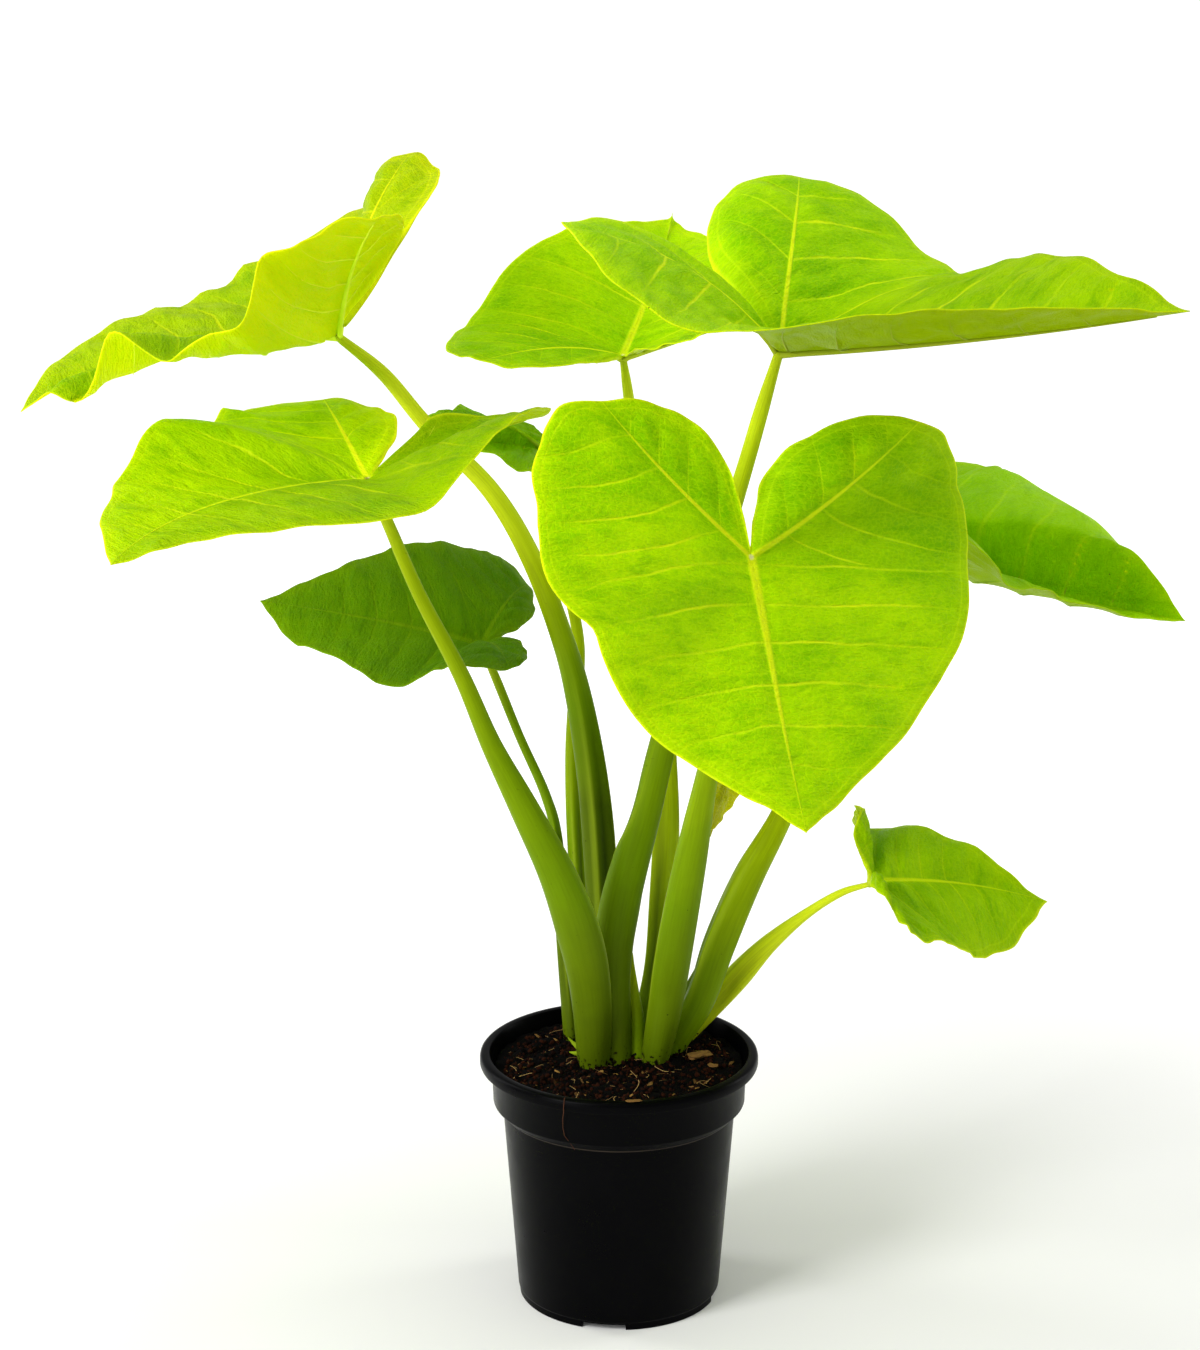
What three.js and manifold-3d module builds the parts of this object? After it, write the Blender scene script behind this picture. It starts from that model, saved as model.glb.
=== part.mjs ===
// Potted elephant ear with arrow-shaped lime leaves, in millimetres, +Z up.
// The origin is the middle of the pot's underside. -Y is the front, +X the right.
import * as THREE from 'three';
import { mergeVertices } from 'three/addons/utils/BufferGeometryUtils.js';
import Module from 'manifold-3d';

const wasm = await Module();
wasm.setup();

// Driving dimensions of the pot
const POT_HEIGHT = 176;
const RIM_RADIUS = 95;
const LIP_HEIGHT = 8.5;
const LIP_WIDTH = 7;
const COLLAR_RADIUS = 87;
const COLLAR_BASE = 142;
const LEDGE_RADIUS = 79.3;
const LEDGE_HEIGHT = 135;
const FOOT_RADIUS = 68.5;
const FOOT_HEIGHT = 5;
const WALL = 1.6;
const GATE_RADIUS = 12;
const DRAIN_COUNT = 8;
const DRAIN_RADIUS = 4.5;
const DRAIN_CIRCLE = 46;
const NOTCH_COUNT = 4;
const NOTCH_WIDTH = 30;
const NOTCH_HEIGHT = 4;
const NOTCH_START = 261;

// Driving dimensions of the soil and the corm
const SOIL_EDGE = 166;
const SOIL_CROWN = 168;
const PLANT_CENTRE = [6, 28];
const CORM_TOP = 156;
const CORM_DEPTH = 48;
const CORM_RADII = [46, 38];
const GAP = 0.3;
const SOIL_CLEARANCE = 0.6;

// Driving dimensions of the leaves
const BLADE_THICKNESS = 0.8;
const RIB_RISE = 1.4;
const MARGIN_STEPS = 20;
const RING_SHARES = [0.22, 0.45, 0.68, 0.86, 1];
const STALK_SIDES = 12;
const STALK_STEP = 26;
const TOP_SHARE = 0.65;

// Colours and finishes
const BLADE_LIT = { color: '#9fd400', roughness: 0.45 };
const BLADE_SHADE = { color: '#6da800', roughness: 0.5 };
const BLADE_OLD = { color: '#a0aa00', roughness: 0.55 };
const STALK = { color: '#7c9c08', roughness: 0.4 };
const CORM = { color: '#6b4a26', roughness: 0.9 };
const SOIL = { color: '#2c1a10', roughness: 1 };
const POT = { color: '#121214', roughness: 0.35 };

const radians = THREE.MathUtils.degToRad;

// Half outline of a blade from the tip round to the notch, in midrib lengths:
// x runs to the tip and y to the side, with the stalk's junction at nought.
const HALF_OUTLINE = [
  [1.0, 0.0], [0.9, 0.115], [0.74, 0.28], [0.55, 0.45], [0.32, 0.6], [0.07, 0.69], [-0.19, 0.715],
  [-0.42, 0.67], [-0.58, 0.54], [-0.64, 0.37], [-0.575, 0.2], [-0.42, 0.085], [-0.22, 0.03], [-0.03, 0.0],
];
const LOBE_RIB_SHARE = 0.66;

// A blade is a fan of curved rays from the junction. Angles of its stations from the midrib, in degrees.
const RISE_ANGLES = [0, 30, 65, 100, 135, 180];
const CURL_ANGLES = [0, 40, 95, 160];

// Each leaf: junction of blade and stalk, heading of the tip round Z from +X, pitch and roll of the blade,
// arch of the midrib and its sway to the left, then on each side the rise of the rays at the inner stations,
// their curl downwards, and the lifts of the edge as [share of the way from the tip to the notch, mm].
// back is the rise of the ray that points away from the tip.
// stalk: centre line from under the junction down to the soil, as [x, y, z, half width].
const LEAVES = [
  {
    name: 'top_left', look: BLADE_LIT, junction: [-184, 17, 667], length: 214, width: 1.0, lobe: 0.93,
    heading: 186, pitch: 3, roll: -10, arch: 18, sway: 40, back: 75,
    left: {
      rise: [-2, -4, 26, 53], curl: [-14, -8, 12],
      edge: [[0.06, 5], [0.115, -12], [0.17, 26], [0.235, 6], [0.31, 34], [0.42, 18], [0.56, -10], [0.7, -17],
        [0.85, -18]],
    },
    right: {
      rise: [1, 4, 15, 46], curl: [19, 5, 68],
      edge: [[0.1, 3], [0.2, 3], [0.32, -18], [0.5, -2], [0.68, 22], [0.84, 34]],
    },
    stalk: [[-155, 32, 638, 4.6], [-127, 42, 601, 5.3], [-86, 50, 556, 6.3], [-59, 54, 508, 7.1],
      [-38, 55, 451, 7.8], [-27, 54, 409, 9.2], [-18, 52, 353, 10.6], [-13, 50, 296, 11.3],
      [-11, 46, 232, 9.7], [-14, 41, 168, 8]],
  },
  {
    name: 'mid_left', look: BLADE_LIT, junction: [-160, -63, 588], length: 238, width: 0.84, lobe: 0.5,
    heading: 222, pitch: 7, roll: 8, arch: 21, sway: 24, back: 53,
    left: { rise: [-1, 1, 21, 28], curl: [14, 9, 13], edge: [] },
    right: { rise: [5, 27, 28, 42], curl: [11, 24, 31], edge: [[0.14, 7], [0.32, -10], [0.5, 0]] },
    stalk: [[-150, -60, 564, 3.8], [-129, -52, 510, 4.5], [-103, -44, 454, 5.5], [-84, -38, 405, 6.9],
      [-63, -32, 360, 9.9], [-42, -25, 313, 12.6], [-28, -17, 269, 14.8], [-20, -9, 227, 13.9],
      [-17, 1, 168, 11.5]],
  },
  {
    name: 'low_left', look: BLADE_SHADE, junction: [-95, 119, 430], length: 159, width: 1.03, lobe: 0.5,
    heading: 183, pitch: 18, roll: -12, arch: 18, sway: -13, back: 74,
    left: { rise: [0, 4, 30, 45], curl: [6, 25, 53], edge: [[0.14, -10], [0.32, 0]] },
    right: { rise: [11, 19, 24, 43], curl: [23, 31, 75], edge: [] },
    stalk: [[-86, 117, 408, 3.1], [-69, 108, 367, 3.1], [-51, 94, 329, 3.5], [-43, 80, 300, 4.2],
      [-39, 62, 241, 4.9], [-33, 46, 168, 5.5]],
  },
  {
    name: 'back_left', look: BLADE_SHADE, junction: [-50, 146, 562], length: 95, width: 1.22, lobe: 0.5,
    heading: 215, pitch: 47, roll: -24, arch: 60, sway: -13, back: 75,
    left: {
      rise: [-31, -13, 16, 50], curl: [4, 36, 75],
      edge: [[0.32, 4], [0.5, 0], [0.68, -10], [0.84, -10]],
    },
    right: {
      rise: [-24, -20, 5, 39], curl: [10, 32, 75],
      edge: [[0.14, 10], [0.32, 6], [0.5, 0], [0.68, -10], [0.84, -10]],
    },
    stalk: [[-39, 122, 490, 3.8], [-28, 102, 439, 4.1], [-30, 92, 398, 5.2], [-31, 84, 357, 6.2],
      [-29, 78, 301, 6.9], [-24, 68, 231, 7], [-12, 58, 168, 6.5]],
  },
  {
    name: 'top_centre', look: BLADE_LIT, junction: [3, 150, 628], length: 173, width: 0.94, lobe: 0.88,
    heading: 71, pitch: 31, roll: 23, arch: 15, sway: 5, back: 48,
    left: { rise: [1, 6, 13, 29], curl: [-1, 48, 29], edge: [[0.68, 0], [0.84, 5]] },
    right: { rise: [14, 28, 44, 54], curl: [5, 1, -1], edge: [] },
    stalk: [[7, 141, 599, 3.8], [18, 124, 518, 4.8], [29, 105, 438, 5.9], [33, 86, 364, 6.9],
      [33, 71, 311, 9], [30, 58, 264, 9], [25, 49, 216, 7.6], [14, 40, 168, 7]],
  },
  {
    name: 'top_right', look: BLADE_LIT, junction: [103, 5, 658], length: 280, width: 0.94, lobe: 0.87,
    heading: -29, pitch: 7, roll: -1, arch: -6, sway: 0, back: 74,
    left: {
      rise: [8, 19, 28, 53], curl: [-1, 37, 52],
      edge: [[0.14, 4], [0.32, 0], [0.68, 0], [0.84, -10]],
    },
    right: {
      rise: [1, 11, 23, 49], curl: [-12, 19, 50],
      edge: [[0.14, 6], [0.32, 0], [0.68, 0], [0.84, 6]],
    },
    stalk: [[92, 9, 618, 4.9], [80, 15, 572, 5.6], [54, 23, 480, 7.7], [30, 27, 389, 9.4],
      [17, 26, 336, 11.2], [1, 20, 277, 13.6], [-5, 18, 227, 13], [-3, 18, 168, 10.5]],
  },
  {
    name: 'front_heart', look: BLADE_LIT, junction: [80, -132, 554], length: 183, width: 1.22, lobe: 0.76,
    heading: -77, pitch: -47, roll: -21, arch: 6, sway: 5, back: 12,
    left: { rise: [7, 10, 10, 32], curl: [9, 1, 12], edge: [[0.5, 0], [0.68, 5], [0.84, -5]] },
    right: { rise: [-3, 6, 10, 10], curl: [15, 16, -10], edge: [] },
    stalk: [[76, -112, 528, 4.7], [69, -80, 461, 6.1], [57, -48, 387, 7.5], [47, -24, 320, 11],
      [37, -7, 251, 12.5], [31, 2, 204, 11.6], [25, 6, 168, 9.5]],
  },
  {
    name: 'right_back', look: BLADE_SHADE, junction: [173, 130, 499], length: 224, width: 1.19, lobe: 0.5,
    heading: -12, pitch: -16, roll: 18, arch: -13, sway: -2, back: 34,
    left: { rise: [41, 25, -3, 11], curl: [64, 14, 9], edge: [] },
    right: { rise: [10, 35, 63, 61], curl: [-11, 46, 13], edge: [[0.14, 6], [0.32, 0]] },
    stalk: [[162, 113, 450, 5.2], [140, 84, 386, 6.9], [112, 55, 327, 7.9], [87, 40, 285, 11.3],
      [67, 31, 241, 13], [54, 26, 202, 11.7], [36, 22, 168, 8.5]],
  },
  {
    name: 'low_right', look: BLADE_LIT, junction: [169, -24, 306], length: 127, width: 1.02, lobe: 0.5,
    heading: 33, pitch: -8, roll: -2, arch: 9, sway: -37, back: 75,
    left: { rise: [17, 26, 22, 70], curl: [17, 21, 39], edge: [[0.5, 0], [0.68, -7], [0.84, 0]] },
    right: {
      rise: [-2, -15, -7, 37], curl: [43, 4, 75],
      edge: [[0.14, -10], [0.32, 10], [0.5, 0], [0.68, -10], [0.84, -8]],
    },
    stalk: [[149, -2, 290, 2.7], [127, 20, 267, 3.7], [103, 38, 239, 6.5], [83, 46, 213, 9],
      [65, 50, 189, 7.7], [45, 42, 168, 6]],
  },
  {
    name: 'old_low', look: BLADE_OLD, junction: [97, 74, 390], length: 92, width: 0.8, lobe: 0.6,
    heading: 190, pitch: -62, roll: 0, arch: 10, sway: 0, back: 0,
    left: { rise: [3, 5, 5, 5], curl: [10, 10, 10], edge: [[0.3, 3], [0.6, -3]] },
    right: { rise: [3, 5, 5, 5], curl: [10, 10, 10], edge: [[0.3, 3], [0.6, -3]] },
    stalk: [[106, 74, 353, 2.1], [111, 73, 321, 2.4], [98, 69, 292, 2.8], [80, 64, 260, 3.1],
      [65, 60, 228, 3.5], [33, 55, 168, 4.5]],
  },
];

// Short dry sheath of a leaf that has gone, between the stalks at the soil: centre line like a stalk's
const OLD_SHEATH = [[9, 27, 236, 0.8], [10, 26, 213, 3.1], [13, 25, 190, 4.5], [15, 25, 168, 4.8]];

// Uniform Catmull-Rom through a row of numbers, at a place counted in spans
function along(values, place) {
  const last = values.length - 1;
  const span = Math.min(Math.floor(place), last - 1);
  const f = place - span;
  const at = (k) => values[Math.min(Math.max(k, 0), last)];
  const [a, b, c, d] = [at(span - 1), at(span), at(span + 1), at(span + 2)];
  return 0.5 * (2 * b + (c - a) * f + (2 * a - 5 * b + 4 * c - d) * f * f + (3 * b - a - 3 * c + d) * f ** 3);
}

// The same, at an angle between stations that are unevenly spaced
function atStation(angles, values, angle) {
  let k = 0;
  while (k < angles.length - 2 && angle > angles[k + 1]) k += 1;
  return along(values, k + (angle - angles[k]) / (angles[k + 1] - angles[k]));
}

// Lift of the edge: smooth steps between the given places, nought at the tip and the notch
function edgeLift(edge, share) {
  const stops = [[0, 0], ...edge, [1, 0]];
  let k = 0;
  while (k < stops.length - 2 && share >= stops[k + 1][0]) k += 1;
  const u = (share - stops[k][0]) / (stops[k + 1][0] - stops[k][0]);
  const s = u * u * (3 - 2 * u);
  return stops[k][1] * (1 - s) + stops[k + 1][1] * s;
}

// Turn of each ray round the junction, so that the fan keeps its angles when the rays rise
function fanTurns(rises) {
  const steps = 60;
  const turns = [0];
  const step = Math.PI / steps;
  let before = radians(atStation(RISE_ANGLES, rises, 0));
  for (let i = 1; i <= steps; i += 1) {
    const rise = radians(atStation(RISE_ANGLES, rises, (i * 180) / steps));
    const change = rise - before;
    const level = Math.sqrt(Math.max(step * step - change * change, (0.25 * step) ** 2));
    turns.push(turns[i - 1] + level / Math.cos((rise + before) / 2));
    before = rise;
  }
  return turns.map((turn) => (turn * Math.PI) / turns[steps]);
}

// What the rays of one side share: their rise and curl by angle, the lifts of the edge and the fan's turns
function sideOf(leaf, half) {
  const rises = [0, ...half.rise, leaf.back];
  return { rises, curls: [leaf.arch, ...half.curl], edge: half.edge, turns: fanTurns(rises) };
}

// A point of the blade in its own frame: share of the way round the edge, and share of the way out
function bladePoint(leaf, half, side, share, out) {
  const place = share * (HALF_OUTLINE.length - 1);
  const flatX = along(HALF_OUTLINE.map((p) => p[0]), place);
  const flatY = along(HALF_OUTLINE.map((p) => p[1]), place) * leaf.width;
  const x = flatX < 0 ? flatX * leaf.lobe : flatX;
  const reach = Math.hypot(x, flatY) * leaf.length * out;
  const angle = Math.max(0, THREE.MathUtils.radToDeg(Math.atan2(flatY, x)));
  const rise = radians(atStation(RISE_ANGLES, half.rises, angle));
  const curl = radians(atStation(CURL_ANGLES, half.curls, angle));
  const turn = along(half.turns, (angle / 180) * (half.turns.length - 1));
  let across = 0;
  let up = 0;
  const parts = 8;
  for (let i = 0; i < parts; i += 1) {
    const slope = rise - (curl * out * (i + 0.5)) / parts;
    across += (reach * Math.cos(slope)) / parts;
    up += (reach * Math.sin(slope)) / parts;
  }
  up += out * out * edgeLift(half.edge, share);
  const alongMidrib = across * Math.cos(turn);
  const toSide = side * across * Math.sin(turn);
  const bend = (radians(leaf.sway) * Math.max(alongMidrib / leaf.length, 0) ** 2) / 2;
  return new THREE.Vector3(
    alongMidrib * Math.cos(bend) - toSide * Math.sin(bend),
    alongMidrib * Math.sin(bend) + toSide * Math.cos(bend),
    up,
  );
}

// The blade's frame in the plant: columns to the tip, to the left and to the upper side
function bladeFrame(leaf) {
  const [heading, pitch, roll] = [leaf.heading, leaf.pitch, leaf.roll].map(radians);
  const tip = new THREE.Vector3(
    Math.cos(pitch) * Math.cos(heading),
    Math.cos(pitch) * Math.sin(heading),
    Math.sin(pitch),
  );
  const level = new THREE.Vector3(-Math.sin(heading), Math.cos(heading), 0);
  const above = new THREE.Vector3().crossVectors(tip, level);
  const left = level.clone().multiplyScalar(Math.cos(roll)).addScaledVector(above, Math.sin(roll));
  const upper = new THREE.Vector3().crossVectors(tip, left);
  return new THREE.Matrix4().makeBasis(tip, left, upper).setPosition(...leaf.junction);
}

// How far the ribs stand out of the lower face: the midrib and the two lobe ribs, fading outwards
function ribHeight(share, out) {
  const midrib = Math.max(0, 1 - share / 0.05);
  const lobeRib = Math.max(0, 1 - Math.abs(share - LOBE_RIB_SHARE) / 0.06);
  return RIB_RISE * (1 - out) * Math.max(midrib, 0.8 * lobeRib);
}

// Upper and lower face of a blade as points on rays and rings, offset along the sheet's own normals, so that
// both faces are split into triangles alike
function bladeFaces(leaf) {
  const halves = { 1: sideOf(leaf, leaf.left), '-1': sideOf(leaf, leaf.right) };
  const spokes = [];
  for (let i = 0; i <= MARGIN_STEPS; i += 1) spokes.push([1, i / MARGIN_STEPS]);
  for (let i = MARGIN_STEPS - 1; i > 0; i -= 1) spokes.push([-1, i / MARGIN_STEPS]);
  const frame = bladeFrame(leaf);
  const sheet = [new THREE.Vector3(0, 0, 0)];
  const ribs = [RIB_RISE];
  for (const out of RING_SHARES) {
    for (const [side, share] of spokes) {
      sheet.push(bladePoint(leaf, halves[side], side, share, out));
      ribs.push(ribHeight(share, out));
    }
  }
  const count = spokes.length;
  const faces = [];
  for (let i = 0; i < count; i += 1) {
    const next = (i + 1) % count;
    faces.push([0, 1 + i, 1 + next]);
    for (let ring = 1; ring < RING_SHARES.length; ring += 1) {
      const [a, b] = [1 + (ring - 1) * count + i, 1 + (ring - 1) * count + next];
      const [c, d] = [a + count, b + count];
      faces.push([a, c, d], [a, d, b]);
    }
  }
  const middle = new THREE.BufferGeometry().setFromPoints(sheet.map((p) => p.applyMatrix4(frame)));
  middle.setIndex(faces.flat());
  middle.computeVertexNormals();
  const normals = sheet.map((_, i) => new THREE.Vector3().fromBufferAttribute(middle.attributes.normal, i));
  const half = BLADE_THICKNESS / 2;
  const upper = sheet.map((point, i) => point.clone().addScaledVector(normals[i], half));
  const lower = sheet.map((point, i) => point.clone().addScaledVector(normals[i], -half - ribs[i]));
  return { upper, lower, faces, count, down: normals[0].clone().negate() };
}

function bladeGeometry({ upper, lower, faces, count }) {
  const total = upper.length;
  const rim = total - count;
  const solid = [...faces];
  for (const [a, b, c] of faces) solid.push([total + a, total + c, total + b]);
  for (let i = 0; i < count; i += 1) {
    const [a, b] = [rim + i, rim + ((i + 1) % count)];
    solid.push([a, total + a, total + b], [a, total + b, b]);
  }
  return new THREE.BufferGeometry().setFromPoints([...upper, ...lower]).setIndex(solid.flat());
}

// Section of a stalk: round, or flatter and hollowed on its inner side where it is a sheath
function section(half, sheath, opening) {
  const outline = [];
  for (let s = 0; s < STALK_SIDES; s += 1) {
    const angle = (s * 2 * Math.PI) / STALK_SIDES;
    const hollow = 1 - 0.3 * sheath * Math.max(0, Math.cos(angle - opening)) ** 4;
    outline.push([half * hollow * Math.cos(angle), half * hollow * (0.95 - 0.17 * sheath) * Math.sin(angle)]);
  }
  return outline;
}

// Direction from a place on a stalk to the middle of the plant, as an angle in the section's own axes
function openingAt(centre, across, inward) {
  const toAxis = new THREE.Vector3(PLANT_CENTRE[0] - centre.x, PLANT_CENTRE[1] - centre.y, 0);
  return Math.atan2(toAxis.dot(inward), toAxis.dot(across));
}

// Middle of a stalk's top: under the junction, just low enough for its rim to clear the blade's first ring
function stalkTop({ lower, count, down }, radius) {
  const [middle, ...others] = lower;
  let depth = 0;
  for (const point of others.slice(0, count)) {
    const way = point.clone().sub(middle);
    const fall = way.dot(down);
    depth = Math.max(depth, (fall * radius) / way.addScaledVector(down, -fall).length());
  }
  return middle.clone().addScaledVector(down, depth + GAP);
}

// Rings of points closed into a tube with flat ends
function tube(rings) {
  const sides = rings[0].length;
  const faces = [];
  for (let k = 0; k < rings.length - 1; k += 1) {
    for (let s = 0; s < sides; s += 1) {
      const [a, b] = [k * sides + s, k * sides + ((s + 1) % sides)];
      faces.push([a, b, b + sides], [a, b + sides, a + sides]);
    }
  }
  const last = (rings.length - 1) * sides;
  for (let s = 1; s < sides - 1; s += 1) faces.push([0, s + 1, s], [last, last + s, last + s + 1]);
  return new THREE.BufferGeometry().setFromPoints(rings.flat()).setIndex(faces.flat());
}

// Upright piece of a stalk's foot between two heights; grow widens it, which gives its hole in the soil
function footRings(stalk, high, low, grow) {
  const [x, y, , half] = stalk.at(-1);
  const across = new THREE.Vector3(1, 0, 0);
  const inward = new THREE.Vector3(0, -1, 0);
  const outline = section(half, 1, openingAt(new THREE.Vector3(x, y, 0), across, inward));
  return [high, low].map((z) => outline.map(([u, v]) => {
    const [wideU, wideV] = [u * (1 + grow / half), v * (1 + grow / half)];
    return new THREE.Vector3(x + wideU, y - wideV, z);
  }));
}

// Stalk: rings across its centre line from the blade to the soil, then straight down to the corm
function stalkGeometry(line, down) {
  const points = line.map((p) => new THREE.Vector3(p[0], p[1], p[2]));
  const path = new THREE.CatmullRomCurve3(points, false, 'catmullrom');
  const count = Math.max(8, Math.round(path.getLength() / STALK_STEP));
  const rings = [];
  for (let k = 0; k < count; k += 1) {
    const place = k / count;
    const centre = path.getPoint(place);
    const ahead = k === 0 ? down : path.getTangent(place);
    const across = new THREE.Vector3(1, 0, 0).addScaledVector(ahead, -ahead.x).normalize();
    const inward = new THREE.Vector3().crossVectors(ahead, across);
    const half = along(line.map((p) => p[3]), place * (line.length - 1));
    const sheath = THREE.MathUtils.smoothstep(place, 0.45, 0.8);
    const outline = section(half, sheath, openingAt(centre, across, inward));
    rings.push(outline.map(([u, v]) => centre.clone().addScaledVector(across, u).addScaledVector(inward, v)));
  }
  return tube([...rings, ...footRings(line, line.at(-1)[2], CORM_TOP + GAP, 0)]);
}

// Closed mesh to solid and back, for the cuts
function toSolid(geometry) {
  const bare = geometry.clone();
  bare.deleteAttribute('normal');
  bare.deleteAttribute('uv');
  const merged = mergeVertices(bare, 1e-4);
  return new wasm.Manifold(new wasm.Mesh({
    numProp: 3,
    vertProperties: new Float32Array(merged.attributes.position.array),
    triVerts: new Uint32Array(merged.index.array),
  }));
}

function toGeometry(solid) {
  const mesh = solid.getMesh();
  const geometry = new THREE.BufferGeometry();
  geometry.setAttribute('position', new THREE.BufferAttribute(new Float32Array(mesh.vertProperties), 3));
  geometry.setIndex([...mesh.triVerts]);
  return geometry;
}

function lathe(profile, sides) {
  const geometry = new THREE.LatheGeometry(profile.map(([r, z]) => new THREE.Vector2(r, z)), sides);
  return geometry.rotateX(Math.PI / 2);
}

// Inside wall of the pot from the floor up to the mouth, moved inwards by a clearance
function innerWall(clearance) {
  return [
    [FOOT_RADIUS - 1, FOOT_HEIGHT + 3],
    [LEDGE_RADIUS - WALL, LEDGE_HEIGHT],
    [COLLAR_RADIUS - 2 * WALL, COLLAR_BASE],
    [COLLAR_RADIUS - WALL, POT_HEIGHT - LIP_HEIGHT],
  ].map(([r, z]) => [r - clearance, z]);
}

function potGeometry() {
  const mouth = RIM_RADIUS - LIP_WIDTH;
  const outside = [
    [0, 0], [GATE_RADIUS, 0], [GATE_RADIUS, FOOT_HEIGHT],
    [FOOT_RADIUS - 4, FOOT_HEIGHT], [FOOT_RADIUS - 3, 0], [FOOT_RADIUS, 0],
    [FOOT_RADIUS, FOOT_HEIGHT], [FOOT_RADIUS + 1, FOOT_HEIGHT + 1],
    [LEDGE_RADIUS, LEDGE_HEIGHT], [LEDGE_RADIUS + 1.4, LEDGE_HEIGHT + 1.5],
    [COLLAR_RADIUS - 1, COLLAR_BASE], [COLLAR_RADIUS, POT_HEIGHT - LIP_HEIGHT - 1],
    [RIM_RADIUS - 0.8, POT_HEIGHT - LIP_HEIGHT], [RIM_RADIUS, POT_HEIGHT - LIP_HEIGHT + 1.5],
    [RIM_RADIUS, POT_HEIGHT - 3], [RIM_RADIUS - 1, POT_HEIGHT - 0.9], [RIM_RADIUS - 3, POT_HEIGHT],
    [mouth + 1.5, POT_HEIGHT], [mouth, POT_HEIGHT - 1.5],
  ];
  const profile = [...outside, ...innerWall(0).reverse(), [0, FOOT_HEIGHT + 3]];
  let pot = toSolid(lathe(profile, 56));
  for (let i = 0; i < DRAIN_COUNT; i += 1) {
    const angle = (i * 2 * Math.PI) / DRAIN_COUNT;
    const hole = new THREE.CylinderGeometry(DRAIN_RADIUS, DRAIN_RADIUS, 20, 12).rotateX(Math.PI / 2);
    hole.translate(DRAIN_CIRCLE * Math.cos(angle), DRAIN_CIRCLE * Math.sin(angle), FOOT_HEIGHT);
    pot = pot.subtract(toSolid(hole));
  }
  for (let i = 0; i < NOTCH_COUNT; i += 1) {
    const notch = new THREE.BoxGeometry(16, NOTCH_WIDTH, 2 * NOTCH_HEIGHT).translate(FOOT_RADIUS, 0, 0);
    pot = pot.subtract(toSolid(notch.rotateZ(radians(NOTCH_START + (i * 360) / NOTCH_COUNT))));
  }
  return toGeometry(pot);
}

// The corm's round body; grow widens it, which gives the room that it fills in the soil
function cormGeometry(grow) {
  const bottom = CORM_TOP - CORM_DEPTH;
  const profile = [[0, bottom], [0.55, bottom], [0.85, bottom + 9], [1, bottom + 20], [1, CORM_TOP - 5],
    [0.94, CORM_TOP], [0, CORM_TOP]];
  const middle = (CORM_TOP + bottom) / 2;
  const geometry = lathe(profile, 28).translate(0, 0, -middle);
  geometry.scale(CORM_RADII[0] + grow, CORM_RADII[1] + grow, 1 + (2 * grow) / CORM_DEPTH);
  return geometry.translate(PLANT_CENTRE[0], PLANT_CENTRE[1], middle);
}

// Height of the soil: highest at the plant, with clods of a few sizes
function soilHeight(x, y) {
  const away = Math.min(1, Math.hypot(x - PLANT_CENTRE[0], y - PLANT_CENTRE[1]) / 90);
  const clods = 0.9 * Math.sin(0.21 * x + 0.4) * Math.sin(0.18 * y + 1.1)
    + 0.6 * Math.sin(0.37 * x - 0.29 * y) + 0.4 * Math.sin(0.55 * y + 0.47 * x + 2);
  return SOIL_CROWN + (SOIL_EDGE - SOIL_CROWN) * away + clods;
}

function soilGeometry() {
  const sides = 44;
  const rings = 7;
  const wall = innerWall(SOIL_CLEARANCE);
  const floor = FOOT_HEIGHT + 3 + SOIL_CLEARANCE;
  const [, ledge, collar] = wall;
  const edge = wall[3][0] - 0.4;
  const levels = [[wall[0][0], floor], [ledge[0], ledge[1] + 0.2], [collar[0], collar[1] + 0.2]];
  const points = [new THREE.Vector3(0, 0, floor)];
  const ring = (radius, height) => {
    for (let s = 0; s < sides; s += 1) {
      const angle = (s * 2 * Math.PI) / sides;
      const [x, y] = [radius * Math.cos(angle), radius * Math.sin(angle)];
      points.push(new THREE.Vector3(x, y, height ?? soilHeight(x, y)));
    }
  };
  levels.forEach(([radius, height]) => ring(radius, height));
  for (let k = 0; k < rings; k += 1) ring((edge * (rings - k)) / rings);
  points.push(new THREE.Vector3(0, 0, soilHeight(0, 0)));
  const faces = [];
  const loops = levels.length + rings;
  for (let s = 0; s < sides; s += 1) {
    const next = (s + 1) % sides;
    faces.push([0, 1 + next, 1 + s]);
    for (let k = 0; k < loops - 1; k += 1) {
      const [a, b] = [1 + k * sides + s, 1 + k * sides + next];
      faces.push([a, b, b + sides], [a, b + sides, a + sides]);
    }
    const rim = 1 + (loops - 1) * sides;
    faces.push([rim + s, rim + next, points.length - 1]);
  }
  let body = toSolid(new THREE.BufferGeometry().setFromPoints(points).setIndex(faces.flat()));
  body = body.subtract(toSolid(cormGeometry(SOIL_CLEARANCE)));
  for (const stalk of [...LEAVES.map((leaf) => leaf.stalk), OLD_SHEATH]) {
    body = body.subtract(toSolid(tube(footRings(stalk, POT_HEIGHT, CORM_TOP - 2, SOIL_CLEARANCE))));
  }
  return toGeometry(body);
}

function piece(name, geometry, look) {
  geometry.computeVertexNormals();
  const material = new THREE.MeshStandardMaterial({ ...look, metalness: 0 });
  const mesh = new THREE.Mesh(geometry, material);
  mesh.name = name;
  return mesh;
}

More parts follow.
